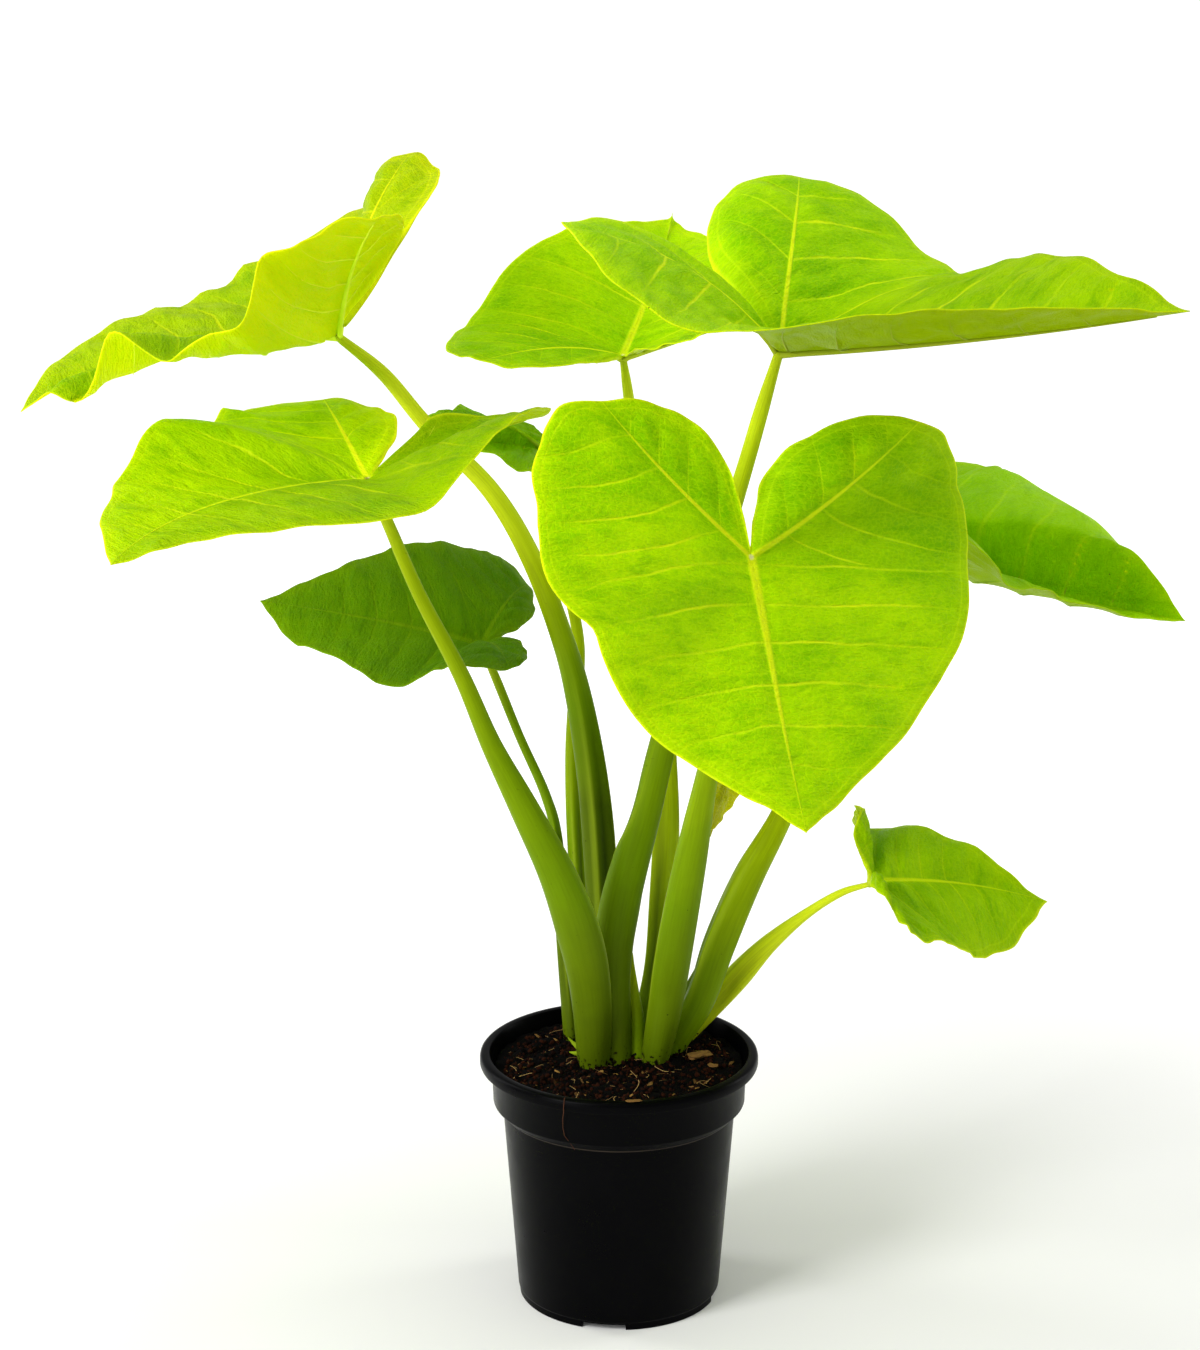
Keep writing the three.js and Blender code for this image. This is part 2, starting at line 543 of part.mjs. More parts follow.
const group = new THREE.Group();
group.add(piece('pot', potGeometry(), POT));
group.add(piece('soil', soilGeometry(), SOIL));
group.add(piece('corm', cormGeometry(0), CORM));
group.add(piece('old_sheath', stalkGeometry(OLD_SHEATH, new THREE.Vector3(0, 0, -1)), STALK));
for (const leaf of LEAVES) {
  const blade = bladeFaces(leaf);
  const topHalf = leaf.stalk[0][3] * TOP_SHARE;
  const line = [[...stalkTop(blade, topHalf).toArray(), topHalf], ...leaf.stalk];
  group.add(piece(`blade_${leaf.name}`, bladeGeometry(blade), leaf.look));
  group.add(piece(`stalk_${leaf.name}`, stalkGeometry(line, blade.down), STALK));
}

export default group;
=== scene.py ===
"""A potted elephant ear with arrow-shaped lime leaves, dressed over its solid model. Sizes are in mm."""
import math
from functools import partial

import bmesh
import bpy
import numpy as np
from mathutils import Matrix, Vector, kdtree, noise


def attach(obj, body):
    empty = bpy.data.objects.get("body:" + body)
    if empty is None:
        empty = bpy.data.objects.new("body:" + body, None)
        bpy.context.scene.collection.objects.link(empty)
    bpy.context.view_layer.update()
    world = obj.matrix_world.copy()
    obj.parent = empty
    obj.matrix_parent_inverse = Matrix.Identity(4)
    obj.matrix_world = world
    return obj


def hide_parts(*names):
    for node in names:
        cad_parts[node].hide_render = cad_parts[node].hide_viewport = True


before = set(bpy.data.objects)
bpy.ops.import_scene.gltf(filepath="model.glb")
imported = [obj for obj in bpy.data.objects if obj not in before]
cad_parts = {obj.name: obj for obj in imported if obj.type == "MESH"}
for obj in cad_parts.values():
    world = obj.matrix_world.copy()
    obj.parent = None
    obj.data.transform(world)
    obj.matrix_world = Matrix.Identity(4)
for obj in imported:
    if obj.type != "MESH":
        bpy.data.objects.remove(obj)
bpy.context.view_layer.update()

MM = 0.001

# Sizes of the pot, the soil and the plant's foot, the same as in the solid model
POT_HEIGHT = 176
RIM_RADIUS = 95
LIP_HEIGHT = 8.5
LIP_WIDTH = 7
COLLAR_RADIUS = 87
COLLAR_BASE = 142
LEDGE_RADIUS = 79.3
LEDGE_HEIGHT = 135
FOOT_RADIUS = 68.5
FOOT_HEIGHT = 5
WALL = 1.6
GATE_RADIUS = 12
DRAIN_COUNT = 8
DRAIN_RADIUS = 4.5
DRAIN_CIRCLE = 46
NOTCH_COUNT = 4
NOTCH_WIDTH = 30
NOTCH_HEIGHT = 4
NOTCH_START = 261
SOIL_EDGE = 166
SOIL_CROWN = 168
PLANT_CENTRE = (6, 28)
STALK_FOOT = 156.3
STALK_RINGS = 110
STALK_SIDES = 32

# Sizes of the leaves. Pitches, slants and bends of the side veins are in midrib lengths.
BLADE_THICKNESS = 0.8
TOP_SHARE = 0.65
RAYS = 130
RINGS = 34
LATERAL_COUNT = 7
LATERAL_PITCH = 0.148
FIRST_LATERAL = 0.03
LOBE_VEIN_COUNT = 4
LOBE_VEIN_PITCH = 0.2
OUTER_SLANT = 0.45
OUTER_BEND = 0.5
INNER_SLANT = 0.8
MARGIN_VEIN = 5.5
QUILT = 1.9
CREASE = 0.6

# Half outline of a blade from the tip round to the notch, in midrib lengths:
# x runs to the tip and y to the side, with the stalk's junction at nought.
HALF_OUTLINE = np.array([
    (1.0, 0.0), (0.9, 0.115), (0.74, 0.28), (0.55, 0.45), (0.32, 0.6), (0.07, 0.69), (-0.19, 0.715),
    (-0.42, 0.67), (-0.58, 0.54), (-0.64, 0.37), (-0.575, 0.2), (-0.42, 0.085), (-0.22, 0.03), (-0.03, 0.0),
])
LOBE_RIB_SHARE = 0.645
RISE_ANGLES = np.array([0, 30, 65, 100, 135, 180.0])
CURL_ANGLES = np.array([0, 40, 95, 160.0])

# Each leaf: junction of blade and stalk, heading of the tip round Z from +X, pitch and roll of the blade,
# arch of the midrib and its sway to the left.
# painted_shading: painted light and shade, as how light it is on the left half ahead and on the lobe, the
# right half ahead and on the lobe, and below. yellowing: how far, in degrees of hue, the left half, the right
# half and the lower side have turned.
# creases: how deep, in mm, where a leaf's creases differ from the usual.
# sheath: how far the stalk's sheath opens away from the plant's middle, in degrees, and how light it looks,
# low and high: partly how young it is and partly painted shade.
# Each side: rise of the rays at the inner stations, their curl downwards, lifts of the edge as [share of the
# way from the tip to the notch, mm], single waves of the edge as (share, width, mm), bulges of the outline
# as (share, width, share of the way from the junction).
# stalk: centre line from under the junction down to the soil, as [x, y, z, half width].
LEAVES = [
    dict(
        name="top_left", look="lit", junction=[-184, 17, 667], length=214, width=1.0, lobe=0.93,
        heading=186, pitch=3, roll=-10, arch=18, sway=40, back=75,
        painted_shading=(0.72, 0.75, 0.74, 0.86, 1.8), yellowing=(1, 12, 5), creases=1.8, sheath=(0, -0.4, 0.12),
        left=dict(
            rise=[-2, -4, 26, 53], curl=[-14, -8, 12],
            edge=[[0.06, 5], [0.115, -12], [0.17, 26], [0.235, 6], [0.31, 34], [0.42, 18], [0.56, -10],
                  [0.7, -17], [0.85, -18]],
            waves=[(0.1, 0.02, 5), (0.44, 0.02, 5), (0.55, 0.05, 4)],
        ),
        right=dict(
            rise=[1, 4, 15, 46], curl=[19, 5, 68],
            edge=[[0.1, 3], [0.2, 3], [0.32, -18], [0.5, -2], [0.68, 22], [0.84, 34]],
            waves=[(0.2, 0.1, 3), (0.255, 0.013, 4.5), (0.31, 0.012, 5), (0.352, 0.012, 6), (0.5, 0.03, -5)],
        ),
        stalk=[[-155, 32, 638, 4.6], [-127, 42, 601, 5.3], [-86, 50, 556, 6.3], [-59, 54, 508, 7.1],
               [-38, 55, 451, 7.8], [-27, 54, 409, 9.2], [-18, 52, 353, 10.6], [-13, 50, 296, 11.3],
               [-11, 46, 232, 9.7], [-14, 41, 168, 8]],
    ),
    dict(
        name="mid_left", look="lit", junction=[-160, -63, 588], length=238, width=0.84, lobe=0.5,
        heading=222, pitch=7, roll=8, arch=21, sway=24, back=53,
        painted_shading=(0.71, 0.62, 0.9, 1.22, 1), yellowing=(2, 7, 2), creases=1.2, sheath=(0, -0.1, -0.14),
        left=dict(
            rise=[-1, 1, 21, 28], curl=[14, 9, 13], edge=[],
            waves=[(0.15, 0.06, 4), (0.275, 0.02, -2), (0.33, 0.02, -4), (0.82, 0.04, 8)],
        ),
        right=dict(
            rise=[5, 27, 28, 42], curl=[11, 24, 31], edge=[[0.14, 7], [0.32, -10], [0.5, 0]],
            waves=[(0.31, 0.03, 3.5), (0.468, 0.02, 6), (0.82, 0.03, 5)],
        ),
        stalk=[[-150, -60, 564, 3.8], [-129, -52, 510, 4.5], [-103, -44, 454, 5.5], [-84, -38, 405, 6.9],
               [-63, -32, 360, 9.9], [-42, -25, 313, 12.6], [-28, -17, 269, 14.8], [-20, -9, 227, 13.9],
               [-17, 1, 168, 11.5]],
    ),
    dict(
        name="low_left", look="shade", junction=[-95, 119, 430], length=159, width=1.03, lobe=0.5,
        heading=183, pitch=18, roll=-12, arch=18, sway=-13, back=74,
        painted_shading=(0.7, 0.7, 0.7, 0.7, 0.8), sheath=(0, -0.12, -0.12),
        left=dict(
            rise=[0, 4, 30, 45], curl=[6, 25, 53], edge=[[0.14, -10], [0.32, 0]], waves=[(0.11, 0.05, -5)],
        ),
        right=dict(rise=[11, 19, 24, 43], curl=[23, 31, 75], edge=[], waves=[(0.3, 0.15, 4)]),
        stalk=[[-86, 117, 408, 3.1], [-69, 108, 367, 3.1], [-51, 94, 329, 3.5], [-43, 80, 300, 4.2],
               [-39, 62, 241, 4.9], [-33, 46, 168, 5.5]],
    ),
    dict(
        name="back_left", look="shade", junction=[-50, 146, 562], length=95, width=1.22, lobe=0.5,
        heading=215, pitch=47, roll=-24, arch=60, sway=-13, back=75,
        painted_shading=(1.48, 1.48, 1.48, 1.48, 1.2), yellowing=(6, 6, 4), sheath=(0, 0.08, 0.08),
        left=dict(
            rise=[-31, -13, 16, 50], curl=[4, 36, 75], edge=[[0.32, 4], [0.5, 0], [0.68, -10], [0.84, -10]],
        ),
        right=dict(
            rise=[-24, -20, 5, 39], curl=[10, 32, 75],
            edge=[[0.14, 10], [0.32, 6], [0.5, 0], [0.68, -10], [0.84, -10]],
        ),
        stalk=[[-39, 122, 490, 3.8], [-28, 102, 439, 4.1], [-30, 92, 398, 5.2], [-31, 84, 357, 6.2],
               [-29, 78, 301, 6.9], [-24, 68, 231, 7], [-12, 58, 168, 6.5]],
    ),
    dict(
        name="top_centre", look="lit", junction=[3, 150, 628], length=173, width=0.94, lobe=0.88,
        heading=71, pitch=31, roll=23, arch=15, sway=5, back=48,
        painted_shading=(1.06, 1.06, 1.06, 1.06, 1), sheath=(0, 0.35, 0.35),
        left=dict(
            rise=[1, 6, 13, 29], curl=[-1, 48, 29], edge=[[0.68, 0], [0.84, 5]],
            waves=[(0, 0.015, 6), (0.25, 0.03, -4), (0.33, 0.03, 3), (0.48, 0.04, 3)],
        ),
        right=dict(rise=[14, 28, 44, 54], curl=[5, 1, -1], edge=[], waves=[(0, 0.015, 6), (0.1, 0.03, 4)]),
        stalk=[[7, 141, 599, 3.8], [18, 124, 518, 4.8], [29, 105, 438, 5.9], [33, 86, 364, 6.9],
               [33, 71, 311, 9], [30, 58, 264, 9], [25, 49, 216, 7.6], [14, 40, 168, 7]],
    ),
    dict(
        name="top_right", look="lit", junction=[103, 5, 658], length=280, width=0.94, lobe=0.87,
        heading=-29, pitch=7, roll=-1, arch=-6, sway=0, back=74,
        painted_shading=(0.76, 1.08, 0.85, 1.1, 0.68), creases=2.4, sheath=(0, -0.05, -0.16),
        left=dict(
            rise=[8, 19, 28, 53], curl=[-1, 37, 52], edge=[[0.14, 4], [0.32, 0], [0.68, 0], [0.84, -10]],
            waves=[(0.12, 0.06, 4), (0.3, 0.1, 3.5), (0.45, 0.02, 4), (0.53, 0.05, 4), (0.65, 0.04, 4)],
        ),
        right=dict(
            rise=[1, 11, 23, 49], curl=[-12, 19, 50], edge=[[0.14, 6], [0.32, 0], [0.68, 0], [0.84, 6]],
            waves=[(0.65, 0.03, 3), (0.8, 0.04, 5)],
        ),
        stalk=[[92, 9, 618, 4.9], [80, 15, 572, 5.6], [54, 23, 480, 7.7], [30, 27, 389, 9.4],
               [17, 26, 336, 11.2], [1, 19, 277, 13.6], [-5, 14, 227, 13], [-2, 8, 168, 11]],
    ),
    dict(
        name="front_heart", look="lit", junction=[80, -132, 554], length=183, width=1.22, lobe=0.76,
        heading=-77, pitch=-47, roll=-21, arch=6, sway=5, back=12,
        painted_shading=(1.04, 1, 1.06, 1.24, 1), sheath=(0, 0, -0.1),
        left=dict(
            rise=[7, 10, 10, 32], curl=[9, 1, 12], edge=[[0.5, 0], [0.68, 5], [0.84, -5]],
            bulges=[(0.28, 0.04, -0.012), (0.62, 0.04, 0.03), (0.8, 0.05, 0.025)],
        ),
        right=dict(
            rise=[-3, 6, 10, 10], curl=[15, 16, -10], edge=[],
            bulges=[(0.2, 0.03, 0.02), (0.3, 0.018, -0.045), (0.355, 0.025, 0.035), (0.46, 0.05, -0.03),
                    (0.6, 0.03, 0.03), (0.8, 0.05, 0.03)],
        ),
        stalk=[[76, -112, 528, 4.7], [69, -80, 461, 6.1], [57, -48, 387, 7.5], [47, -24, 320, 11],
               [37, -7, 251, 12.5], [31, 2, 204, 11.6], [25, 6, 168, 9.5]],
    ),
    dict(
        name="right_back", look="shade", junction=[173, 130, 499], length=224, width=1.19, lobe=0.5,
        heading=-12, pitch=-16, roll=18, arch=-13, sway=-2, back=34,
        painted_shading=(1.72, 1.72, 1.72, 1.72, 1.2), yellowing=(4, 4, 3), creases=1.0, sheath=(0, 0.3, 0.2),
        left=dict(
            rise=[41, 25, -3, 11], curl=[64, 14, 9], edge=[], waves=[(0.15, 0.03, -3), (0.33, 0.03, -5)],
        ),
        right=dict(rise=[10, 35, 63, 61], curl=[-11, 46, 13], edge=[[0.14, 6], [0.32, 0]],
                   waves=[(0.22, 0.08, -6)]),
        stalk=[[162, 113, 450, 5.2], [140, 84, 386, 6.9], [112, 55, 327, 7.9], [87, 40, 285, 11.3],
               [67, 31, 241, 13], [54, 26, 202, 11.7], [36, 22, 168, 8.5]],
    ),
    dict(
        name="low_right", look="lit", junction=[169, -24, 306], length=127, width=1.02, lobe=0.5,
        heading=33, pitch=-8, roll=-2, arch=9, sway=-37, back=75,
        painted_shading=(0.86, 0.86, 0.86, 0.86, 1), sheath=(-60, 0.85, 0.85),
        left=dict(
            rise=[17, 26, 22, 70], curl=[17, 21, 39], edge=[[0.5, 0], [0.68, -7], [0.84, 0]],
            waves=[(0.15, 0.05, 3), (0.75, 0.03, 6)],
        ),
        right=dict(
            rise=[-2, -15, -7, 37], curl=[43, 4, 75],
            edge=[[0.14, -10], [0.32, 10], [0.5, 0], [0.68, -10], [0.84, -8]], waves=[(0.62, 0.04, -2.5)],
        ),
        stalk=[[149, -2, 290, 2.7], [127, 20, 267, 3.7], [103, 38, 239, 6.5], [83, 46, 213, 9],
               [65, 50, 189, 7.7], [45, 42, 168, 6]],
    ),
    dict(
        name="old_low", look="old", junction=[97, 74, 390], length=92, width=0.92, lobe=0.6,
        heading=190, pitch=-62, roll=0, arch=10, sway=0, back=0,
        painted_shading=(1.1, 1.1, 1.1, 1.1, 1.1),
        left=dict(rise=[3, 5, 5, 5], curl=[10, 10, 10], edge=[[0.3, 3], [0.6, -3]]),
        right=dict(rise=[3, 5, 5, 5], curl=[10, 10, 10], edge=[[0.3, 3], [0.6, -3]]),
        stalk=[[106, 74, 353, 2.1], [111, 73, 321, 2.4], [98, 69, 292, 2.8], [80, 64, 260, 3.1],
               [65, 60, 228, 3.5], [33, 55, 168, 4.5]],
    ),
]

# Short dry sheath of a leaf that has gone, between the stalks at the soil
OLD_SHEATH = [[9, 24, 236, 0.8], [10, 21, 213, 3.4], [12, 17, 190, 5.6], [12, 12, 168, 6.6]]


def smooth(value, low, high):
    """0 below low, 1 above high, smooth between."""
    share = np.clip((np.asarray(value, float) - low) / (high - low), 0, 1)
    return share * share * (3 - 2 * share)


def along(values, place):
    """Uniform Catmull-Rom through a row of numbers, at places counted in spans."""
    values = np.asarray(values, float)
    last = len(values) - 1
    span = np.minimum(np.floor(place), last - 1).astype(int)
    f = place - span
    a, b, c, d = (values[np.clip(span + k, 0, last)] for k in (-1, 0, 1, 2))
    bend = (2 * a - 5 * b + 4 * c - d) * f**2 + (3 * b - a - 3 * c + d) * f**3
    return 0.5 * (2 * b + (c - a) * f + bend)


def at_station(angles, values, angle):
    """The same, at angles between stations that are unevenly spaced."""
    k = np.searchsorted(angles[1:-1], angle, side="left")
    return along(values, k + (angle - angles[k]) / (angles[k + 1] - angles[k]))


def edge_lift(edge, share):
    """Lift of the edge: smooth steps between the given places, nought at the tip and the notch."""
    stops = np.array([[0, 0], *edge, [1, 0]], float)
    k = np.searchsorted(stops[1:-1, 0], share, side="right")
    s = smooth((share - stops[k, 0]) / (stops[k + 1, 0] - stops[k, 0]), 0, 1)
    return stops[k, 1] * (1 - s) + stops[k + 1, 1] * s


def fan_turns(rises):
    """Turn of each ray round the junction, so that the fan keeps its angles when the rays rise."""
    steps = 60
    step = math.pi / steps
    slopes = np.radians(at_station(RISE_ANGLES, rises, np.linspace(0, 180, steps + 1)))
    level = np.sqrt(np.maximum(step**2 - np.diff(slopes)**2, (0.25 * step) ** 2))
    turns = np.concatenate([[0], np.cumsum(level / np.cos((slopes[1:] + slopes[:-1]) / 2))])
    return turns * math.pi / turns[-1]


def flat_outline(leaf, share):
    """Where the edge of one half lies before the blade is bent, in midrib lengths."""
    place = np.asarray(share, float) * (len(HALF_OUTLINE) - 1)
    x = along(HALF_OUTLINE[:, 0], place)
    y = along(HALF_OUTLINE[:, 1], place) * leaf["width"]
    return np.where(x < 0, x * leaf["lobe"], x), y


def blade_frame(leaf):
    """Unit vectors of the blade to the tip, to the left and to the upper side."""
    heading, pitch, roll = np.radians([leaf["heading"], leaf["pitch"], leaf["roll"]])
    flat = math.cos(pitch)
    tip = np.array([flat * math.cos(heading), flat * math.sin(heading), math.sin(pitch)])
    level = np.array([-math.sin(heading), math.cos(heading), 0])
    left = level * math.cos(roll) + np.cross(tip, level) * math.sin(roll)
    return np.array([tip, left, np.cross(tip, left)])


def half_of(leaf, side):
    """The named values of one half: side is 1 left or -1 right."""
    return leaf["left"] if side > 0 else leaf["right"]


def blade_points(leaf, side, share, out):
    """Points of one half of the sheet: share goes round its edge, and out goes from the junction."""
    half = half_of(leaf, side)
    rises = [0, *half["rise"], leaf["back"]]
    turns = fan_turns(rises)
    x, y = flat_outline(leaf, share)
    reach = np.hypot(x, y) * leaf["length"] * out
    angle = np.maximum(0, np.degrees(np.arctan2(y, x)))
    rise = np.radians(at_station(RISE_ANGLES, rises, angle))
    curl = np.radians(at_station(CURL_ANGLES, [leaf["arch"], *half["curl"]], angle))
    turn = along(turns, angle / 180 * (len(turns) - 1))
    parts = 8
    slopes = [rise - curl * out * (i + 0.5) / parts for i in range(parts)]
    across = sum(np.cos(slope) for slope in slopes) * reach / parts
    up = sum(np.sin(slope) for slope in slopes) * reach / parts
    up = up + out**2 * edge_lift(half["edge"], share)
    ahead = across * np.cos(turn)
    aside = side * across * np.sin(turn)
    bend = math.radians(leaf["sway"]) * np.maximum(ahead / leaf["length"], 0) ** 2 / 2
    own = np.stack([
        ahead * np.cos(bend) - aside * np.sin(bend),
        ahead * np.sin(bend) + aside * np.cos(bend),
        up,
    ], -1)
    return own @ blade_frame(leaf) + leaf["junction"]


def sheet_normals(points, faces):
    """Upward normals of a sheet of four-cornered faces."""
    corners = points[faces]
    normal = np.cross(corners[:, 2] - corners[:, 0], corners[:, 3] - corners[:, 1])
    total = np.zeros_like(points)
    for k in range(4):
        np.add.at(total, faces[:, k], normal)
    return total / np.maximum(np.linalg.norm(total, axis=1, keepdims=True), 1e-9)


def lobe_rib(leaf):
    """Length of the rib that runs back into a lobe, and its unit vectors along and to the outer side."""
    x, y = flat_outline(leaf, LOBE_RIB_SHARE)
    length = math.hypot(x, y)
    ahead = np.array([x, y]) / length
    return length, ahead, np.array([ahead[1], -ahead[0]])


def lateral_drift(side, y):
    """How far a side vein has bent towards the tip at a distance from the midrib: more on the right half."""
    return (0.06 - 0.05 * side) * y + (0.12 - 0.08 * side) * y**2


def lobe_bow(length, p):
    """How far a lobe's rib bows to the outer side, at a distance from the junction."""
    return 0.12 * p * (1 - p / length)


def vein_maps(leaf, side, x, y):
    """Smooth maps of the flat blade whose whole numbers are the veins, so that each line stays crisp."""
    length, ahead, outer = lobe_rib(leaf)
    p = x * ahead[0] + y * ahead[1]
    q = x * outer[0] + y * outer[1] - lobe_bow(length, np.clip(p, 0, length))
    pitch = LOBE_VEIN_PITCH * length
    return {
        "front": (x - FIRST_LATERAL - lateral_drift(side, y)) / LATERAL_PITCH,
        "outer": (p - OUTER_SLANT * q - OUTER_BEND * q**2) / pitch,
        "inner": (p + INNER_SLANT * q) / pitch,
        "lobe_side": q * leaf["length"],
        "lobe_along": p / length,
    }


def pillow(row):
    """Swelling of the leaf between veins that stand at the whole numbers of a row."""
    return 1 - np.abs(2 * (row - np.floor(row)) - 1) ** 2.2


def quilting(leaf, maps, y, edge):
    """Height of the swellings between the side veins, in mm."""
    row = maps["front"]
    front = pillow(row) * smooth(row, -0.02, 0.3) * smooth(LATERAL_COUNT + 0.3 - row, 0, 1.5)
    front = front * smooth(y * leaf["length"], 1, 12)
    outer = pillow(maps["outer"]) * smooth(-row, 0, 0.5) * smooth(maps["lobe_side"], 0, 9)
    inner = pillow(maps["inner"]) * smooth(-maps["lobe_side"], 0, 9)
    return QUILT * (front + outer + inner) * (0.25 + 0.75 * smooth(edge, 0, 16))


def creases(leaf, maps, y, edge):
    """Height of the creases that run beside the side veins, in mm."""
    ahead = maps["front"]
    away = maps["lobe_side"]
    beside = y * leaf["length"]
    salt = len(leaf["name"])
    total = 0 * y
    for row, across, share in (
        (ahead, beside, smooth(ahead, 0, 0.5) * smooth(beside, 1, 12)),
        (maps["outer"], away, smooth(-ahead, 0, 0.5) * smooth(away, 0, 9)),
        (maps["inner"], away, smooth(-away, 0, 9)),
    ):
        total += share * np.array([noise.noise(Vector((a, b, salt))) for a, b in zip(2.8 * row, across / 26)])
    return leaf.get("creases", CREASE) * total * smooth(edge, 0, 10)


def edge_noise(leaf, side, share, pace, salt):
    """Smooth noise along the edge, nought at the tip and the notch."""
    start = 3.7 * len(leaf["name"]) + 1.3 * ord(leaf["name"][-1]) + 11 * salt
    rough = [noise.noise(Vector((start + pace * s, 5.1 * side, salt))) for s in share]
    return np.array(rough) * smooth(share, 0, 0.08) * smooth(1 - share, 0, 0.08)


def swells(leaf, side, kind, share):
    """Sum of the listed waves or bulges of one half."""
    total = 0 * share
    for at, width, height in half_of(leaf, side).get(kind, []):
        total = total + height * np.exp(-(((share - at) / width) ** 2))
    return total


def ripples(leaf, side, share):
    """Small waves of the edge across the sheet in mm: fine noise, and the waves that show in the picture."""
    wave = 3.2 * edge_noise(leaf, side, share, 13, 0) + 1.6 * edge_noise(leaf, side, share, 31, 1)
    return wave + swells(leaf, side, "waves", share)


def grid_of(leaf):
    """Rays and rings of the fine sheet, with the flat place, the points and the faces of each."""
    shares = np.concatenate([np.arange(RAYS + 1), np.arange(RAYS - 1, 0, -1)]) / RAYS
    sides = np.concatenate([np.ones(RAYS + 1), -np.ones(RAYS - 1)])
    count = len(shares)
    outs = np.arange(1, RINGS + 1) / RINGS
    points = [np.array([leaf["junction"]], float)]
    wander = {
        side: 0.03 * edge_noise(leaf, side, shares, 17, 2) + swells(leaf, side, "bulges", shares)
        for side in (1, -1)
    }
    for out in outs:
        left, right = (blade_points(leaf, k, shares, out * (1 + out**3 * wander[k])) for k in (1, -1))
        points.append(np.where((sides > 0)[:, None], left, right))
    outline = flat_outline(leaf, shares)
    flat_x, flat_y = (np.concatenate([[0], np.outer(outs, row).ravel()]) for row in outline)
    ray = np.arange(count)
    start, ahead = (1 + np.arange(RINGS - 1)[:, None] * count + turn for turn in (ray, (ray + 1) % count))
    quads = np.stack([start, start + count, ahead + count, ahead], -1).reshape(-1, 4)
    fan = [[0, 1 + i, 1 + (i + 1) % count] for i in range(count)]
    side = np.concatenate([[1], np.tile(sides, RINGS)])
    all_shares = np.concatenate([[0], np.tile(shares, RINGS)])
    all_outs = np.concatenate([[0], np.repeat(outs, count)])
    return np.concatenate(points), flat_x, flat_y, side, all_shares, all_outs, quads, fan, count


def edge_distance(leaf, x, y):
    """Distance of each flat place from the leaf's edge, in mm."""
    stops = 700
    length = leaf["length"]
    edge_x, edge_y = flat_outline(leaf, np.linspace(0, 1, stops))
    tree = kdtree.KDTree(stops)
    for i in range(stops):
        tree.insert((edge_x[i] * length, edge_y[i] * length, 0), i)
    tree.balance()
    return np.array([tree.find((a * length, b * length, 0))[2] for a, b in zip(x, y)])


def make_mesh(name, points, faces, material):
    """A smooth mesh from points in mm."""
    mesh = bpy.data.meshes.new(name)
    mesh.from_pydata((np.asarray(points, float) * MM).tolist(), [], [list(map(int, face)) for face in faces])
    mesh.materials.append(material)
    mesh.polygons.foreach_set("use_smooth", [True] * len(mesh.polygons))
    mesh.update()
    return show(name, mesh)


def show(name, data):
    """Puts a mesh, a curve, a light or a camera into the scene as an object."""
    made = bpy.data.objects.new(name, data)
    bpy.context.scene.collection.objects.link(made)
    return made


def give(piece, name, values):
    """Writes a value for each point, which the material reads by name."""
    values = np.asarray(values, np.float32)
    single = values.ndim == 1
    made = piece.data.attributes.new(name, "FLOAT" if single else "FLOAT_VECTOR", "POINT")
    made.data.foreach_set("value" if single else "vector", values.ravel())


def place(piece, slot, *nodes):
    """Hands a finished piece to the frame, in place of the nodes it stands for."""
    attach(piece, "root")
    if nodes:
        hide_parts(*nodes)


def blade(leaf, material):
    """The leaf's blade: a quilted sheet with a rounded edge, and the maps its veins are drawn from."""
    points, x, y, side, shares, outs, quads, fan, count = grid_of(leaf)
    maps = vein_maps(leaf, side, x, y)
    edge = edge_distance(leaf, x, y)
    normals = sheet_normals(points, quads)
    middle = normals[1:count + 1].sum(0)
    normals[0] = middle / np.linalg.norm(middle)
    wave = np.where(side > 0, ripples(leaf, 1, shares), ripples(leaf, -1, shares)) * outs**4
    heights = quilting(leaf, maps, y, edge) + creases(leaf, maps, y, edge) + wave
    points = points + normals * heights[:, None]
    total = len(points)
    rim = total - count
    outward = points[rim:] - points[rim - count:rim]
    outward = outward / np.linalg.norm(outward, axis=1, keepdims=True)
    half = BLADE_THICKNESS / 2
    solid = np.concatenate([points + normals * half, points - normals * half, points[rim:] + outward * half])
    faces = [*fan, *quads, *[[total + c for c in reversed(face)] for face in [*fan, *quads.tolist()]]]
    for i in range(count):
        a, b = rim + i, rim + (i + 1) % count
        c, d = 2 * total + i, 2 * total + (i + 1) % count
        faces += [[a, c, d, b], [c, total + a, total + b, d]]
    piece = make_mesh("leaf_" + leaf["name"], solid, faces, material)
    length = leaf["length"]
    flat = np.stack([x * length, y * side * length, x], -1)
    for name, values in {**maps, "edge": edge, "flat": flat}.items():
        give(piece, name, np.concatenate([values, values, values[rim:]]))
    upper = np.concatenate([np.ones(total), np.zeros(total), np.full(count, 0.5)])
    give(piece, "upper", upper)

    # Painted light and shade of the halves and the lower side, and their yellowing, blended into each other
    ahead = smooth(x, -0.15, 0.25)
    is_left = smooth(y * side, -0.03, 0.03)
    # How light each half and the lower side look is painted light and shade, not the leaf's own colour
    left_front, left_lobe, right_front, right_lobe, below = leaf["painted_shading"]
    left = left_lobe + (left_front - left_lobe) * ahead
    right = right_lobe + (right_front - right_lobe) * ahead
    old_left, old_right, old_below = np.array(leaf.get("yellowing", (0, 0, 0))) / 360
    fresher = 1 - 0.6 * ahead
    for name, one, other, under in (
        ("tone", left, right, below),
        ("yellow", old_left * fresher, old_right * fresher, old_below),
    ):
        half = other + (one - other) * is_left
        above = np.concatenate([half, half, half[rim:]])
        give(piece, name, under + (above - under) * upper)
    return piece, heights, normals


